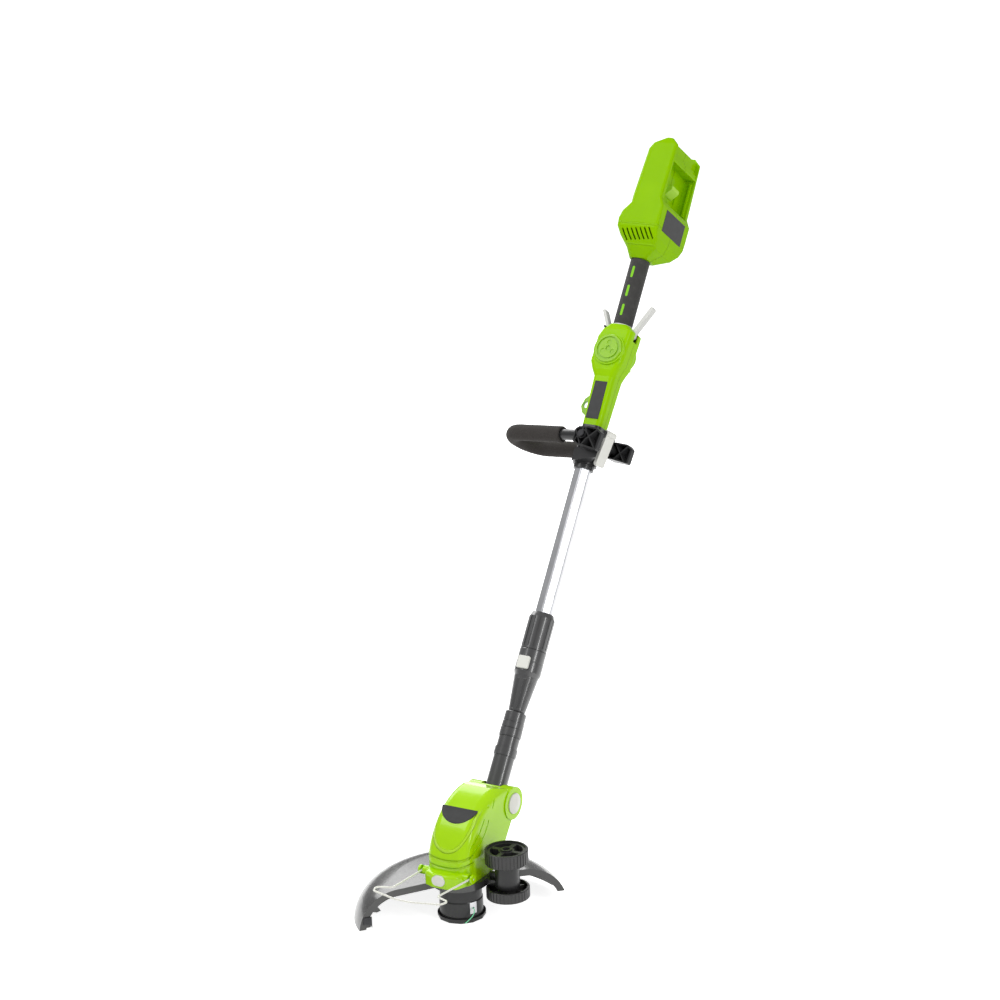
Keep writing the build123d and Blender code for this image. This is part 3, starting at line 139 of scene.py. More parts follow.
class Graph:
    """A node tree, with the few ways in which this scene adds nodes to it."""

    def __init__(self, tree: bpy.types.NodeTree) -> None:
        """Start on an empty tree.

        Args:
            tree: The node tree to fill.
        """
        self.tree = tree
        tree.nodes.clear()
        self._place: bpy.types.NodeSocket | None = None
        self._axes: list[Value] = []

    def node(
        self,
        kind: str,
        settings: dict[str, object] | None = None,
        inputs: dict[str | int, object] | None = None,
    ) -> bpy.types.Node:
        """Add a node, with its settings first and then its sockets.

        Args:
            kind: The node's type.
            settings: Its own properties.
            inputs: A value, socket or Value for each input by name or number.

        Returns:
            The new node.
        """
        node = self.tree.nodes.new(kind)
        for name, setting in (settings or {}).items():
            setattr(node, name, setting)
        for key, value in (inputs or {}).items():
            source = value.socket if isinstance(value, Value) else value
            if isinstance(source, bpy.types.NodeSocket):
                self.tree.links.new(source, node.inputs[key])
            else:
                node.inputs[key].default_value = source
        return node

    def maths(self, operation: str, *numbers: "Value | float") -> Value:
        """Add one Math node.

        Args:
            operation: Its operation.
            numbers: The numbers that it takes, in order.

        Returns:
            Its result.
        """
        node = self.node("ShaderNodeMath", {"operation": operation}, dict(enumerate(numbers)))
        return Value(self, node.outputs[0])

    def place(self) -> bpy.types.NodeSocket:
        """Give the point on the surface, in metres in the trimmer's frame.

        Returns:
            The point's socket, made once.
        """
        if self._place is None:
            self._place = self.node("ShaderNodeTexCoord").outputs["Object"]
        return self._place

    def axes(self) -> list[Value]:
        """Give the surface point's x, y and z.

        Returns:
            The three numbers, in metres.
        """
        if not self._axes:
            split = self.node("ShaderNodeSeparateXYZ", inputs={0: self.place()})
            self._axes = [Value(self, output) for output in split.outputs]
        return self._axes

    def shaft_axes(self) -> list[Value]:
        """Give the surface point along the shaft's own x, y and z, from the tilt pivot.

        Returns:
            The three numbers, in metres, with z up the shaft.
        """
        x, y, z = self.axes()
        across, up = y - SHAFT.pivot[1], z - SHAFT.pivot[2]
        lean = math.radians(SHAFT.lean)
        forward = across * math.cos(lean) - up * math.sin(lean)
        along = across * math.sin(lean) + up * math.cos(lean)
        return [x, forward, along]

    def stretched(self, factors: tuple[float, float, float], turn: float = 0.0) -> bpy.types.NodeSocket:
        """Give the surface point turned about x and scaled, for grain that runs one way.

        Args:
            factors: Scale along x, y and z.
            turn: Turn about x in degrees, before the scaling.

        Returns:
            The changed point.
        """
        turned = self.node(
            "ShaderNodeVectorRotate",
            {"rotation_type": "X_AXIS"},
            {"Vector": self.place(), "Angle": math.radians(turn)},
        )
        scaled = self.node(
            "ShaderNodeVectorMath", {"operation": "MULTIPLY"}, {0: turned.outputs[0], 1: factors}
        )
        return scaled.outputs[0]

    def noise(self, size: float, detail: float = 2.0, point: bpy.types.NodeSocket | None = None) -> Value:
        """Add soft noise.

        Args:
            size: About how wide its patches are, in metres.
            detail: How many finer layers it has.
            point: Where it is read, if not the plain surface point.

        Returns:
            A number about 0.5.
        """
        inputs = {"Vector": point or self.place(), "Scale": 1 / size, "Detail": detail}
        return Value(self, self.node("ShaderNodeTexNoise", inputs=inputs).outputs[0])

    def cells(self, size: float) -> Value:
        """Give the distance from the middle of small cells of a size in metres, as a share of it."""
        node = self.node("ShaderNodeTexVoronoi", inputs={"Vector": self.place(), "Scale": 1 / size})
        return Value(self, node.outputs["Distance"])

    def mix(self, first: object, second: object, share: "Value | float") -> bpy.types.NodeSocket:
        """Mix two colours.

        Args:
            first: The colour where the share is 0.
            second: The colour where the share is 1.
            share: How much of the second there is.

        Returns:
            The mixed colour.
        """
        node = self.node("ShaderNodeMix", {"data_type": "RGBA"}, {0: share, 6: first, 7: second})
        return node.outputs[2]

    def relief(self, height: Value, depth: float) -> bpy.types.NodeSocket:
        """Turn a height from 0 to 1 into a normal, for a relief of a depth in metres."""
        return self.node("ShaderNodeBump", inputs={"Distance": depth, "Height": height}).outputs[0]

    def shader(self, **inputs: object) -> bpy.types.NodeSocket:
        """Add a Principled shader, its sockets named with underscores for spaces."""
        named = {name.replace("_", " "): value for name, value in inputs.items()}
        return self.node("ShaderNodeBsdfPrincipled", inputs=named).outputs[0]

    def finish(self, surface: bpy.types.NodeSocket) -> None:
        """Send a shader to the material's output."""
        self.node("ShaderNodeOutputMaterial", inputs={"Surface": surface})


def new_material(name: str) -> tuple[bpy.types.Material, Graph]:
    """Make an empty material.

    Args:
        name: The finish's name.

    Returns:
        The material and the graph to fill.
    """
    material = bpy.data.materials.new(name)
    material.use_nodes = True
    return material, Graph(material.node_tree)


# ------------------------------------------------------------------ marks in a finish


class Sense(Enum):
    """Whether a mark stands out of the surface or is let into it."""

    RAISED = 1.0
    SUNK = -1.0


@dataclass(frozen=True)
class Tongue:
    """The raised oval tongue on the front of the motor housing, under the badge, in millimetres."""

    half_width: float = 37.0
    drop: float = 47.0
    top: float = 172.0
    level_share: float = 0.86
    face_y: float = 20.0
    roof_z: float = 180.0
    fade: float = 10.0
    sense: Sense = Sense.RAISED
    shading: float = 0.0

    def reach(self, graph: Graph) -> Value:
        """Give how far out a place is: 0 in the middle of the tongue and 1 at its edge.

        Args:
            graph: The finish's graph.

        Returns:
            The share of the way out.
        """
        x, _, z = graph.axes()
        wide = x / (self.half_width * MM)
        deep = (z - self.top * MM) / (self.drop * MM)
        return (wide ** 2 + deep.least(0.0) ** 2) ** 0.5

    def front(self, graph: Graph) -> Value:
        """Give 1 on the front of the housing, where the tongue lies.

        Args:
            graph: The finish's graph.

        Returns:
            The share from 0 to 1.
        """
        _, y, z = graph.axes()
        face = y.between((self.face_y + self.fade) * MM, self.face_y * MM)
        return face * z.between((self.roof_z + self.fade) * MM, self.roof_z * MM)

    def mask(self, graph: Graph) -> Value:
        """Give 1 on the tongue and 0 outside it."""
        return self.reach(graph).between(1.0, self.level_share) * self.front(graph)


@dataclass(frozen=True)
class TongueRim:
    """The raised rim that runs round the tongue, coloured with a painted highlight, in shares of its reach.
    """

    tongue: Tongue = Tongue()
    inner_edge: tuple[float, float] = (0.85, 0.90)
    outer_edge: tuple[float, float] = (1.0, 0.96)
    sense: Sense = Sense.RAISED
    shading: float = -0.45

    def mask(self, graph: Graph) -> Value:
        """Give 1 along the rim.

        Args:
            graph: The finish's graph.

        Returns:
            The share from 0 to 1.
        """
        reach = self.tongue.reach(graph)
        band = reach.between(*self.outer_edge) * reach.between(*self.inner_edge)
        return band * self.tongue.front(graph)


@dataclass(frozen=True)
class FrontStep:
    """A shallow step across the front of the motor housing, bowed up at its ends, with painted shade along
    it, in millimetres.
    """

    height: float
    reach: float = 3.0
    bow: float = 0.004
    face_y: float = -22.0
    fade: float = 8.0
    sense: Sense = Sense.SUNK
    shading: float = 0.1

    def mask(self, graph: Graph) -> Value:
        """Give 1 along the step.

        Args:
            graph: The finish's graph.

        Returns:
            The share from 0 to 1.
        """
        x, y, z = graph.axes()
        off = abs(z - self.height * MM - x ** 2 * (self.bow / MM))
        return off.between(self.reach * MM, 0.0) * y.between((self.face_y + self.fade) * MM, self.face_y * MM)


@dataclass(frozen=True)
class MouldSeam:
    """The parting line between the two halves of a housing on the shaft, darkened with painted shade, in
    millimetres.
    """

    edge: float = 0.5
    core: float = 0.15
    sense: Sense = Sense.SUNK
    shading: float = 0.4

    def mask(self, graph: Graph) -> Value:
        """Give 1 along the parting line."""
        return abs(graph.shaft_axes()[1]).between(self.edge * MM, self.core * MM)


@dataclass(frozen=True)
class Flutes:
    """Shallow lengthwise flutes round the shaft, darkened with painted shade, between two heights in
    millimetres.
    """

    count: int
    start: float
    end: float
    share: float = 0.5
    fade: float = 2.0
    sense: Sense = Sense.SUNK
    shading: float = 0.3

    def mask(self, graph: Graph) -> Value:
        """Give 1 in the flutes.

        Args:
            graph: The finish's graph.

        Returns:
            The share from 0 to 1.
        """
        x, y, z = graph.shaft_axes()
        wave = (graph.maths("ARCTAN2", x, y) * float(self.count)).sine()
        low_end = z.between(self.start * MM, (self.start + self.fade) * MM)
        high_end = z.between(self.end * MM, (self.end - self.fade) * MM)
        return wave.between(1 - 2 * self.share, 1 - self.share) * (low_end * high_end)


@dataclass(frozen=True)
class CrossRib:
    """A raised line across the wide faces of the battery housing, with a painted highlight along it, in
    millimetres up the shaft.
    """

    height: float
    edge: float = 1.8
    core: float = 0.48
    side_edge: tuple[float, float] = (34.0, 38.0)
    sense: Sense = Sense.RAISED
    shading: float = -0.12

    def mask(self, graph: Graph) -> Value:
        """Give 1 along the rib.

        Args:
            graph: The finish's graph.

        Returns:
            The share from 0 to 1.
        """
        _, y, z = graph.shaft_axes()
        start, end = self.side_edge
        line = abs(z - self.height * MM).between(self.edge * MM, self.core * MM)
        return line * abs(y).between(start * MM, end * MM)


Mark = Tongue | TongueRim | FrontStep | MouldSeam | Flutes | CrossRib


# ------------------------------------------------------------------ finishes


@dataclass(frozen=True)
class Moulding:
    """Moulded plastic: an even tone with faint flow marks, a fine spark-eroded grain, painted shade on some
    marks and a painted highlight on others.
    """

    name: str
    tone: Colour
    flow_tone: Colour
    roughness: float
    grain: float = 0.5
    grain_depth: float = 0.012
    coat: float = 0.0
    gloss: float = 0.5
    scuffs: float = 0.04
    mark_depth: float = 1.0
    marks: tuple[Mark, ...] = ()
    flow_size: float = 60.0
    flow_range: tuple[float, float] = (0.35, 0.75)
    scuff_size: float = 9.0
    coat_roughness: float = 0.1
    # How strong the painted shade and the painted highlight in the marks are.
    shadow_share: float = 0.12
    glint_gain: float = 1.5
    glint_lift: float = 0.05

    def shadow(self) -> Colour:
        """Give the painted shade tone that darkens a sunk mark."""
        red, green, blue, _ = self.tone
        return (red * self.shadow_share, green * self.shadow_share, blue * self.shadow_share, 1.0)

    def glint(self) -> Colour:
        """Give the painted highlight tone that brightens a raised mark."""
        lit = [min(1.0, channel * self.glint_gain + self.glint_lift) for channel in self.tone[:3]]
        return (lit[0], lit[1], lit[2], 1.0)

    def material(self) -> bpy.types.Material:
        """Build the finish.

        Returns:
            The finished material.
        """
        material, graph = new_material(self.name)
        flow = graph.noise(self.flow_size * MM, detail=3.0)
        tone: object = graph.mix(self.tone, self.flow_tone, flow.between(*self.flow_range))
        grain = graph.noise(self.grain * MM, detail=1.0)
        scuff = graph.noise(self.scuff_size * MM, detail=4.0)
        height = grain * (self.grain_depth / self.mark_depth)
        for mark in self.marks:
            mask = mark.mask(graph)
            height = height + mask * mark.sense.value
            # Painted light: a positive shading mixes in painted shade, a negative one a painted highlight.
            if mark.shading:
                shade = self.shadow() if mark.shading > 0 else self.glint()
                tone = graph.mix(tone, shade, mask * abs(mark.shading))
        surface = graph.shader(
            Base_Color=tone,
            Roughness=scuff * (2 * self.scuffs) + (self.roughness - self.scuffs),
            Normal=graph.relief(height, self.mark_depth * MM),
            Coat_Weight=self.coat,
            Coat_Roughness=self.coat_roughness,
            Specular_IOR_Level=self.gloss,
            IOR=1.5,
        )
        graph.finish(surface)
        return material


@dataclass(frozen=True)
class Foam:
    """Closed-cell foam: a matt skin of small cells, worn a little paler on its crests."""

    name: str
    tone: Colour
    crest_tone: Colour
    cell: float = 1.4
    pore_depth: float = 0.25
    patch_size: float = 14.0
    crest_range: tuple[float, float] = (0.55, 0.1)
    crest_share: float = 0.6
    patch_share: float = 0.3
    roughness: float = 0.85
    roughness_spread: float = 0.1

    def material(self) -> bpy.types.Material:
        """Build the finish.

        Returns:
            The finished material.
        """
        material, graph = new_material(self.name)
        cells = graph.cells(self.cell * MM)
        patches = graph.noise(self.patch_size * MM, detail=3.0)
        wear = cells.between(*self.crest_range) * self.crest_share + patches * self.patch_share
        surface = graph.shader(
            Base_Color=graph.mix(self.tone, self.crest_tone, wear),
            Roughness=patches * self.roughness_spread + self.roughness,
            Normal=graph.relief(1 - cells, self.pore_depth * MM),
            Specular_IOR_Level=0.3,
        )
        graph.finish(surface)
        return material


@dataclass(frozen=True)
class Rubber:
    """Overmoulded rubber with a fine knurl of low ribs along the grip."""

    name: str
    tone: Colour
    dust_tone: Colour
    knurl: float = 1.6
    knurl_depth: float = 0.1
    rib_count: int = 64
    dust_size: float = 12.0
    dust_range: tuple[float, float] = (0.4, 0.8)
    dust_share: float = 0.5
    crest_share: float = 0.2
    roughness: float = 0.62
    roughness_spread: float = 0.15

    def material(self) -> bpy.types.Material:
        """Build the finish.

        Returns:
            The finished material.
        """
        material, graph = new_material(self.name)
        x, y, z = graph.shaft_axes()
        turn = graph.maths("ARCTAN2", x, y)
        rings = (z * (2 * math.pi / (self.knurl * MM))).sine()
        ribs = (turn * float(self.rib_count)).sine()
        knurl = (rings * ribs) * 0.5 + 0.5
        dust = graph.noise(self.dust_size * MM, detail=4.0)
        paleness = dust.between(*self.dust_range) * self.dust_share + knurl * self.crest_share
        surface = graph.shader(
            Base_Color=graph.mix(self.tone, self.dust_tone, paleness),
            Roughness=dust * self.roughness_spread + self.roughness,
            Normal=graph.relief(knurl, self.knurl_depth * MM),
            Specular_IOR_Level=0.35,
        )
        graph.finish(surface)
        return material


@dataclass(frozen=True)
class Metal:
    """Bare metal with fine lines left by drawing or turning, along the shaft or in all directions."""

    name: str
    tone: Colour
    dull_tone: Colour
    roughness: float
    drawn: bool = False
    line: float = 0.25
    line_depth: float = 0.01
    line_share: float = 0.3
    line_spread: float = 0.12
    film_size: float = 30.0
    film_range: tuple[float, float] = (0.3, 0.8)
    film_share: float = 0.7
    film_spread: float = 0.06
    stretch: float = 0.02

    def material(self) -> bpy.types.Material:
        """Build the finish.

        Returns:
            The finished material.
        """
        material, graph = new_material(self.name)
        factors = (1.0, 1.0, self.stretch if self.drawn else 1.0)
        point = graph.stretched(factors, SHAFT.lean if self.drawn else 0.0)
        lines = graph.noise(self.line * MM, detail=2.0, point=point)
        film = graph.noise(self.film_size * MM, detail=3.0)
        dullness = film.between(*self.film_range) * self.film_share + lines * self.line_share
        smoothest = self.roughness - (self.line_spread + self.film_spread) / 2
        surface = graph.shader(
            Base_Color=graph.mix(self.tone, self.dull_tone, dullness),
            Metallic=1.0,
            Roughness=lines * self.line_spread + film * self.film_spread + smoothest,
            Normal=graph.relief(lines, self.line_depth * MM),
        )
        graph.finish(surface)
        return material


@dataclass(frozen=True)
class Film:
    """A film label: a dark even ground with fine print grain and a slight ripple."""

    name: str
    tone: Colour
    dot_tone: Colour
    roughness: float = 0.42
    roughness_spread: float = 0.12
    ripple_size: float = 7.0
    ripple_depth: float = 0.05
    dot_size: float = 0.35
    dot_share: float = 0.35

    def material(self) -> bpy.types.Material:
        """Build the finish.

        Returns:
            The finished material.
        """
        material, graph = new_material(self.name)
        ripple = graph.noise(self.ripple_size * MM, detail=1.0)
        print_dots = graph.noise(self.dot_size * MM, detail=0.0)
        surface = graph.shader(
            Base_Color=graph.mix(self.tone, self.dot_tone, print_dots * self.dot_share),
            Roughness=ripple * self.roughness_spread + (self.roughness - self.roughness_spread / 2),
            Normal=graph.relief(ripple, self.ripple_depth * MM),
            Specular_IOR_Level=0.3,
        )
        graph.finish(surface)
        return material


@dataclass(frozen=True)
class Painted:
    """Wire under white paint, with small runs and chips that show the steel."""

    name: str
    tone: Colour
    chip_tone: Colour
    chip_size: float = 2.2
    chip_range: tuple[float, float] = (0.70, 0.74)
    chip_sink: float = 0.4
    run_size: float = 6.0
    run_depth: float = 0.12
    roughness: float = 0.26
    roughness_spread: float = 0.1

    def material(self) -> bpy.types.Material:
        """Build the finish.

        Returns:
            The finished material.
        """
        material, graph = new_material(self.name)
        chips = graph.noise(self.chip_size * MM, detail=4.0).between(*self.chip_range)
        runs = graph.noise(self.run_size * MM, detail=2.0)
        surface = graph.shader(
            Base_Color=graph.mix(self.tone, self.chip_tone, chips),
            Roughness=runs * self.roughness_spread + self.roughness,
            Normal=graph.relief(runs - chips * self.chip_sink, self.run_depth * MM),
            Coat_Weight=0.5,
            Coat_Roughness=0.08,
        )
        graph.finish(surface)
        return material


@dataclass(frozen=True)
class Nylon:
    """Cutting line: tinted nylon that lets a little light in, with faint draw marks."""

    name: str
    tone: Colour
    core_tone: Colour
    mark_size: float = 0.5
    mark_depth: float = 0.03
    roughness: float = 0.22
    roughness_spread: float = 0.15

    def material(self) -> bpy.types.Material:
        """Build the finish.

        Returns:
            The finished material.
        """
        material, graph = new_material(self.name)
        draw = graph.noise(self.mark_size * MM, detail=3.0)
        surface = graph.shader(
            Base_Color=graph.mix(self.tone, self.core_tone, draw),
            Roughness=draw * self.roughness_spread + self.roughness,
            Normal=graph.relief(draw, self.mark_depth * MM),
            Subsurface_Weight=0.25,
            Subsurface_Radius=(0.001, 0.002, 0.001),
            Subsurface_Scale=0.5,
        )
        graph.finish(surface)
        return material


PAPER = from_screen(244, 244, 244)
PALE_PAPER = from_screen(247, 247, 247)
GREEN = from_screen(166, 218, 0)
GREEN_FLOW = from_screen(171, 223, 2)
HANDLE_TONE = from_screen(148, 202, 0)
HANDLE_FLOW = from_screen(152, 206, 0)
DEEP_GREEN = from_screen(138, 191, 0)
DEEP_GREEN_FLOW = from_screen(142, 195, 0)
DARK = from_screen(38, 38, 39)
DARK_FLOW = from_screen(46, 46, 47)
TUBE_TONE = from_screen(56, 56, 57)
TUBE_FLOW = from_screen(64, 64, 65)

# The tongue's rim carries a painted highlight and the two front steps carry painted shade.
HEAD_GREEN = Moulding(
    "head_green", GREEN, GREEN_FLOW, 0.2, coat=0.25, gloss=0.2, mark_depth=2.4,
    marks=(Tongue(), TongueRim(), FrontStep(114.0), FrontStep(102.0)),
)
# The parting line carries painted shade.
HANDLE_GREEN = Moulding(
    "handle_green", HANDLE_TONE, HANDLE_FLOW, 0.26, coat=0.05, gloss=0.05, marks=(MouldSeam(),)
)
# The parting line carries painted shade and the two cross ribs a painted highlight.
BATTERY_GREEN = Moulding(
    "battery_green", DEEP_GREEN, DEEP_GREEN_FLOW, 0.26, coat=0.03, gloss=0.02,
    marks=(MouldSeam(), CrossRib(994.0), CrossRib(1025.0)),
)
TRIM_GREEN = Moulding("trim_green", DEEP_GREEN, DEEP_GREEN_FLOW, 0.32, coat=0.12, gloss=0.2)
INLAY_GREEN = Moulding("inlay_green", from_screen(126, 200, 0), from_screen(132, 206, 4), 0.42, gloss=0.2)
CONTACT_GREEN = Moulding(
    "contact_green", from_screen(166, 214, 48), from_screen(172, 220, 56), 0.35, gloss=0.2
)
DARK_PLASTIC = Moulding("dark_plastic", DARK, DARK_FLOW, 0.3, grain_depth=0.01, coat=0.1, gloss=0.3)
TUBE_PLASTIC = Moulding("tube_plastic", TUBE_TONE, TUBE_FLOW, 0.32, grain_depth=0.01, coat=0.6, gloss=0.6)
# The flutes carry painted shade.
FLUTED_PLASTIC = Moulding(
    "fluted_plastic", TUBE_TONE, TUBE_FLOW, 0.32, grain_depth=0.01, coat=0.6, gloss=0.6, mark_depth=0.8,
    marks=(Flutes(10, 156.0, 210.0),),
)
GRAINED_PLASTIC = Moulding(
    "grained_plastic", from_screen(38, 38, 38), from_screen(48, 47, 47), 0.42, grain=0.8, grain_depth=0.05
)
GUARD_PLASTIC = Moulding(
    "guard_plastic", from_screen(52, 52, 52), from_screen(60, 60, 59), 0.24, grain=0.7, grain_depth=0.012,
    coat=0.3, scuffs=0.06,
)
PALE_PLASTIC = Moulding(
    "pale_plastic", from_screen(222, 222, 214), from_screen(228, 228, 222), 0.4, gloss=0.35
)
GREY_PLASTIC = Moulding(
    "grey_plastic", from_screen(202, 202, 198), from_screen(210, 210, 206), 0.4, gloss=0.35
)
BOARD = Moulding(
    "circuit_board", from_screen(22, 74, 40), from_screen(40, 96, 50), 0.4, grain=1.2, grain_depth=0.05
)
LAMINATIONS = Metal("laminations", from_screen(120, 116, 112), from_screen(80, 76, 74), 0.5)
FOAM = Foam("handle_foam", from_screen(50, 47, 45), from_screen(74, 70, 68))
RUBBER = Rubber("grip_rubber", from_screen(52, 51, 50), from_screen(74, 73, 71))
ALUMINIUM = Metal("drawn_aluminium", from_screen(186, 187, 190), from_screen(166, 167, 170), 0.3, drawn=True)
BLACK_STEEL = Metal("blackened_steel", from_screen(70, 70, 72), from_screen(46, 46, 48), 0.36)
STEEL = Metal("plated_steel", from_screen(206, 206, 208), from_screen(170, 170, 172), 0.32)
BRASS = Metal("contact_brass", from_screen(214, 184, 96), from_screen(190, 150, 70), 0.28)
LABEL = Film("label_film", from_screen(30, 31, 31), from_screen(44, 45, 45))
WIRE_PAINT = Painted("wire_paint", from_screen(226, 226, 216), from_screen(150, 150, 148))
LINE_NYLON = Nylon("line_nylon", from_screen(150, 250, 196), from_screen(120, 238, 176))


# ------------------------------------------------------------------ scene tools


@dataclass(frozen=True)
class ShaftPlace:
    """Where the leaning shaft stands in the trimmer's frame."""

    lean: float = 35.2
    pivot: tuple[float, float, float] = (0.0, 0.112, 0.165)


SHAFT = ShaftPlace()


def add_object(name: str, data: bpy.types.ID) -> bpy.types.Object:
    """Add an object to the scene.

    Args:
        name: Its name.
        data: Its mesh, curve, lamp or camera.

    Returns:
        The new object.
    """
    piece = bpy.data.objects.new(name, data)
    bpy.context.scene.collection.objects.link(piece)
    return piece


def dress(nodes: dict[str, bpy.types.Material]) -> None:
    """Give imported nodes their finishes.

    Args:
        nodes: The material of each node, by the node's name.
    """
    for name, material in nodes.items():
        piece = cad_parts[name]
        piece.data.materials.clear()
        piece.data.materials.append(material)
        log.info("%s is finished in %s", name, material.name)


# ------------------------------------------------------------------ the studio


@dataclass(frozen=True)
class SoftBox:
    """One broad lamp, and which way it lies from the middle along the view's right, up and back."""

    name: str
    way: tuple[float, float, float]
    reach: float
    width: float
    height: float
    watts: float


@dataclass
class Studio:
    """The camera, floor and light: places in metres; lens, sensor and paper grain in millimetres."""

    eye: tuple[float, float, float] = (2.94396, -4.55381, 2.45049)
    right: tuple[float, float, float] = (0.85534, 0.51634, -0.04222)
    up: tuple[float, float, float] = (-0.12274, 0.28116, 0.95178)
    back: tuple[float, float, float] = (0.50331, -0.80892, 0.30387)
    lens: float = 127.66
    sensor: float = 36.0
    sight: float = 60.0
    floor_half: float = 14.0
    floor_height: float = -0.0008
    floor_glow: float = 0.84
    paper_grain: float = 4.0
    sky_glow: float = 0.5
    centre: tuple[float, float, float] = (0.0, 0.45, 0.6)
    boxes: tuple[SoftBox, ...] = (
        SoftBox("key_box", (-0.9, 1.0, 0.55), reach=3.2, width=1.8, height=1.8, watts=44.0),
        SoftBox("strip_box", (0.62, 0.3, 1.0), reach=3.0, width=0.35, height=2.4, watts=32.0),
        SoftBox("back_box", (-0.5, 1.0, -0.9), reach=3.0, width=2.4, height=1.6, watts=46.0),
    )

    def make_camera(self) -> None:
        """Stand the camera where the trimmer is seen from the front and its roller side."""
        data = bpy.data.cameras.new("camera")
        data.lens = self.lens
        data.sensor_width = self.sensor
        data.clip_end = self.sight
        camera = add_object("camera", data)
        axes = Matrix((self.right, self.up, self.back)).transposed().to_4x4()
        camera.matrix_world = Matrix.Translation(self.eye) @ axes
        bpy.context.scene.camera = camera

    def make_floor(self) -> None:
        """Lay the pale floor, which reads as white and keeps the trimmer's shadow."""
        mesh = bmesh.new()
        half = self.floor_half
        plan = ((-half, -half), (half, -half), (half, half), (-half, half))
        mesh.faces.new([mesh.verts.new((x, y, self.floor_height)) for x, y in plan])
        data = bpy.data.meshes.new("floor")
        mesh.to_mesh(data)
        mesh.free()
        floor = add_object("floor", data)
        data.materials.append(self.floor_material())

    def floor_material(self) -> bpy.types.Material:
        """Build the floor's paper, which glows a little where it is seen or mirrored.

        Returns:
            The finished material.
        """
        material, graph = new_material("floor_paper")
        tone = graph.mix(PAPER, PALE_PAPER, graph.noise(self.paper_grain * MM, detail=2.0))
        plain = graph.shader(Base_Color=tone, Roughness=0.9)
        lit = graph.shader(
            Base_Color=tone, Roughness=0.9, Emission_Color=WHITE, Emission_Strength=self.floor_glow
        )
        rays = graph.node("ShaderNodeLightPath")
        mirrored = Value(graph, rays.outputs["Is Glossy Ray"])
        seen = Value(graph, rays.outputs["Is Camera Ray"]).most(mirrored)
        mixed = graph.node("ShaderNodeMixShader", inputs={0: seen, 1: plain, 2: lit})
        graph.finish(mixed.outputs[0])
        return material

    def make_sky(self) -> None:
        """Light from all round, seen as plain white behind the trimmer."""
        world = bpy.data.worlds.new("studio")
        bpy.context.scene.world = world
        world.use_nodes = True
        graph = Graph(world.node_tree)
        soft = graph.node("ShaderNodeBackground", inputs={"Color": WHITE, "Strength": self.sky_glow})
        white = graph.node("ShaderNodeBackground", inputs={"Color": WHITE, "Strength": 1.0})
        rays = graph.node("ShaderNodeLightPath")
        through = Value(graph, rays.outputs["Is Transmission Ray"])
        seen = Value(graph, rays.outputs["Is Camera Ray"]).most(through)
        mixed = graph.node("ShaderNodeMixShader", inputs={0: seen, 1: soft.outputs[0], 2: white.outputs[0]})
        graph.node("ShaderNodeOutputWorld", inputs={"Surface": mixed.outputs[0]})

    def make_lamp(self, box: SoftBox) -> None:
        """Hang one soft box that faces the middle of the trimmer.

        Args:
            box: The lamp.
        """
        data = bpy.data.lights.new(box.name, "AREA")
        data.shape = "RECTANGLE"
        data.size = box.width
        data.size_y = box.height
        data.energy = box.watts
        lamp = add_object(box.name, data)
        side, rise, near = box.way
        direction = Vector(self.right) * side + Vector(self.up) * rise + Vector(self.back) * near
        direction.normalize()
        lamp.location = Vector(self.centre) + direction * box.reach
        lamp.rotation_mode = "QUATERNION"
        lamp.rotation_quaternion = direction.to_track_quat("Z", "Y")

    def make(self) -> None:
        """Set up the whole studio."""
        bpy.context.scene.view_settings.view_transform = "Standard"
        self.make_camera()
        self.make_floor()
        self.make_sky()
        for box in self.boxes:
            self.make_lamp(box)


# ------------------------------------------------------------------ the trimmer's sub-assemblies


@dataclass
class CuttingLine:
    """The free end of the cutting line, out of the spool's eyelet and down to just above the ground."""

    diameter: float = 0.0016
    length: float = 0.0336
    route: tuple[tuple[float, float, float], ...] = (
        (0.0336, -0.0157, 0.0250), (0.0384, -0.0196, 0.0226), (0.0386, -0.0256, 0.0164),
        (0.0346, -0.0314, 0.0100), (0.0286, -0.0354, 0.0040),
    )

    def make(self) -> None:
        """Lay the line on its smooth route."""
        curve = bpy.data.curves.new("cutting_line_end", "CURVE")
        curve.dimensions = "3D"
        spline = curve.splines.new("NURBS")
        spline.points.add(len(self.route) - 1)
        for point, place in zip(spline.points, self.route):
            point.co = (*place, 1.0)
        spline.order_u = 3
        spline.use_endpoint_u = True
        spline.resolution_u = 12
        curve.bevel_depth = self.diameter / 2
        curve.bevel_resolution = 4
        curve.use_fill_caps = True
        curve.materials.append(LINE_NYLON.material())
        piece = add_object("cutting_line_end", curve)
        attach(piece, "spool")
        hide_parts("cutting_line")
        log.info("cutting line laid")


@dataclass
class MotorHead:
    """The motor housing, its badge, buttons, motor and pivot."""

    def make(self) -> None:
        """Dress the head."""
        green = HEAD_GREEN.material()
        steel = STEEL.material()
        pale = PALE_PLASTIC.material()
        dress({
            "motor_housing_left": green, "motor_housing_right": green, "badge_plate": LABEL.material(),
            "motor_can": steel, "motor_bearings": steel, "motor_spindle": steel,
            "motor_rotor": LAMINATIONS.material(),
            "housing_screws": steel, "pivot_pin": steel, "button_springs": steel,
            "pivot_button": pale, "front_button": pale,
        })


@dataclass
class SpoolAndGuard:
    """The line spool and the guard round its back."""

    def make(self) -> None:
        """Dress the spool and the guard."""
        dark = DARK_PLASTIC.material()
        steel = STEEL.material()
        dress({
            "spool_cap": dark, "spool_drum": dark, "line_reel": dark, "line_eyelet": steel,
            "wound_line": LINE_NYLON.material(),
            "guard_shell": GUARD_PLASTIC.material(), "guard_screws": steel,
            "line_cutter": BLACK_STEEL.material(),
        })


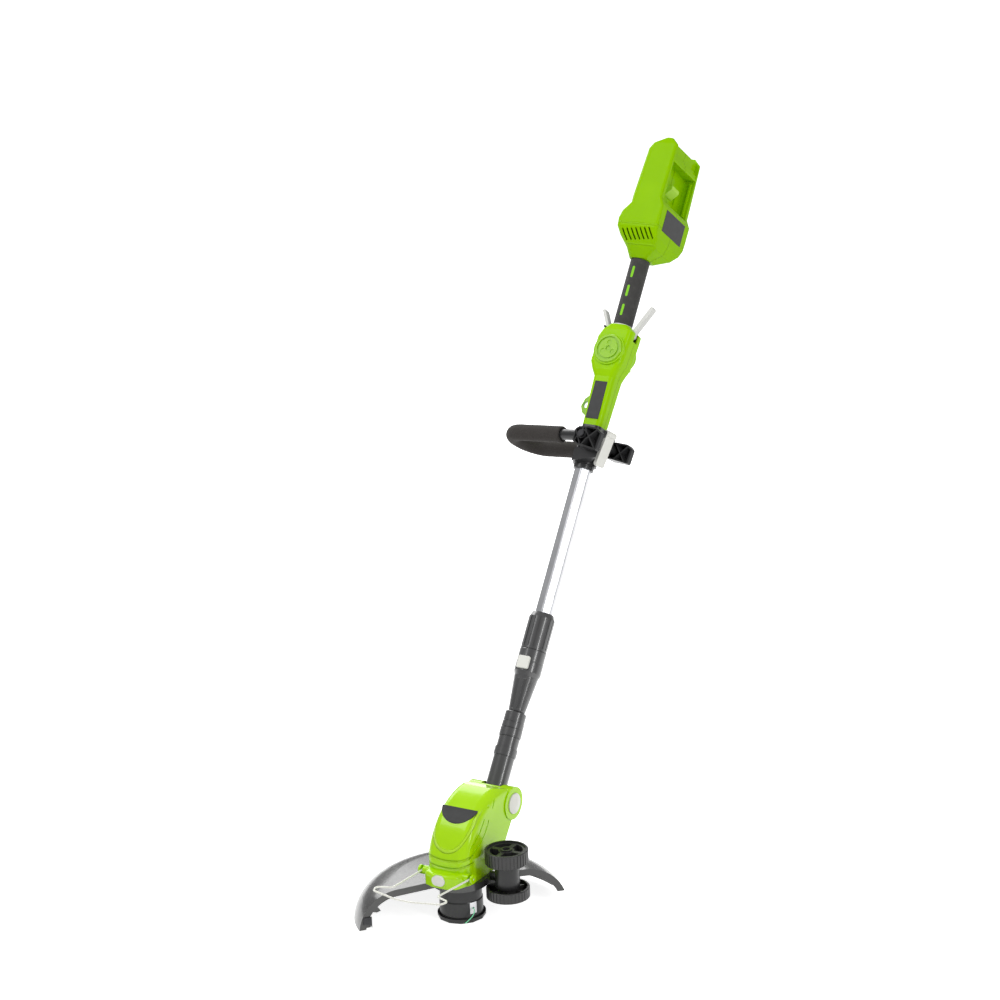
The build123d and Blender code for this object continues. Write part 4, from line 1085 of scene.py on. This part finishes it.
@dataclass
class RollerAndBow:
    """The edge roller beside the head and the wire bow in front of it."""

    def make(self) -> None:
        """Dress the roller and the bow."""
        grained = GRAINED_PLASTIC.material()
        dress({
            "roller_bracket": DARK_PLASTIC.material(), "roller_axle": STEEL.material(),
            "lower_wheel": grained, "upper_wheel": grained, "wire_bow": WIRE_PAINT.material(),
        })


@dataclass
class TelescopicShaft:
    """The tubes, the swivel and the telescope's lock."""

    def make(self) -> None:
        """Dress the shaft."""
        dark = TUBE_PLASTIC.material()
        metal = ALUMINIUM.material()
        dress({
            "lower_tube": dark, "swivel_collar": dark, "guide_bush": dark,
            "taper_sleeve": FLUTED_PLASTIC.material(),
            "lock_ring": dark, "twist_nut": dark, "lock_button": PALE_PLASTIC.material(),
            "inner_tube": metal, "main_tube": metal,
        })


@dataclass
class FrontHandle:
    """The loop handle with its foam sleeve and its clamp."""

    voxel: float = 0.0022
    weld: float = 0.00001
    rounding: int = 4
    dent_size: float = 0.012
    dent_depth: float = 0.00035
    dent_level: float = 0.7

    def foam_blank(self) -> bpy.types.Object:
        """Copy the sleeve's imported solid, with its doubled corners welded.

        Returns:
            The copy.
        """
        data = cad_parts["foam_grip"].data.copy()
        data.name = "foam_sleeve"
        sleeve = add_object("foam_sleeve", data)
        mesh = bmesh.new()
        mesh.from_mesh(data)
        bmesh.ops.remove_doubles(mesh, verts=mesh.verts, dist=self.weld)
        mesh.to_mesh(data)
        mesh.free()
        return sleeve

    def soften(self, sleeve: bpy.types.Object) -> None:
        """Round the sleeve's ends and press shallow dents into it.

        Args:
            sleeve: The copied sleeve, which is changed.
        """
        remesh = sleeve.modifiers.new("cells", "REMESH")
        remesh.mode = "VOXEL"
        remesh.voxel_size = self.voxel
        smooth = sleeve.modifiers.new("soften", "SMOOTH")
        smooth.factor = 0.5
        smooth.iterations = self.rounding
        dents = bpy.data.textures.new("foam_dents", "CLOUDS")
        dents.noise_scale = self.dent_size
        press = sleeve.modifiers.new("press", "DISPLACE")
        press.texture = dents
        press.strength = self.dent_depth
        press.mid_level = self.dent_level
        graph = bpy.context.evaluated_depsgraph_get()
        shaped = bpy.data.meshes.new_from_object(sleeve.evaluated_get(graph))
        sleeve.modifiers.clear()
        sleeve.data = shaped

    def make_foam(self) -> None:
        """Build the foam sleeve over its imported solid, softly rounded at its ends."""
        sleeve = self.foam_blank()
        self.soften(sleeve)
        sleeve.data.materials.clear()
        sleeve.data.materials.append(FOAM.material())
        sleeve.data.shade_smooth()
        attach(sleeve, "front_handle")
        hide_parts("foam_grip")
        log.info("foam sleeve built")

    def make(self) -> None:
        """Dress the handle and build its foam."""
        dark = DARK_PLASTIC.material()
        steel = BLACK_STEEL.material()
        dress({
            "handle_clamp": dark, "handle_frame": dark, "handle_bolt": steel,
            "cam_lever": PALE_PLASTIC.material(), "lever_pins": steel,
        })
        self.make_foam()


@dataclass
class SwitchHousing:
    """The green housing with the levers, the strap eye and the side caps."""

    def make(self) -> None:
        """Dress the switch housing."""
        green = HANDLE_GREEN.material()
        trim = TRIM_GREEN.material()
        dress({
            "switch_housing_left": green, "switch_housing_right": green,
            "strap_eye": trim, "side_caps": trim,
            "end_ring": DARK_PLASTIC.material(), "side_strip": LABEL.material(),
            "handle_screws": STEEL.material(), "micro_switch": DARK_PLASTIC.material(),
            "trigger": GREY_PLASTIC.material(), "lock_off": GREY_PLASTIC.material(),
        })


@dataclass
class RearGrip:
    """The rubber grip with its three green inlays."""

    def make(self) -> None:
        """Dress the grip."""
        dress({
            "grip_ring": GREY_PLASTIC.material(), "rubber_grip": RUBBER.material(),
            "grip_inlays": INLAY_GREEN.material(),
        })


@dataclass
class BatteryHousing:
    """The housing with the open battery bay."""

    def make(self) -> None:
        """Dress the battery housing."""
        green = BATTERY_GREEN.material()
        dress({
            "battery_housing_left": green, "battery_housing_right": green,
            "rating_plate": LABEL.material(),
            "contact_block": CONTACT_GREEN.material(), "battery_contacts": BRASS.material(),
            "controller_board": BOARD.material(),
        })


def main() -> None:
    """Build the studio and every sub-assembly in order."""
    logging.basicConfig(level=logging.INFO, format="%(name)s: %(message)s")
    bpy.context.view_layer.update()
    Studio().make()
    CuttingLine().make()
    for assembly in (
        MotorHead(), SpoolAndGuard(), RollerAndBow(), TelescopicShaft(),
        FrontHandle(), SwitchHousing(), RearGrip(), BatteryHousing(),
    ):
        assembly.make()


if __name__ == "__main__":
    main()
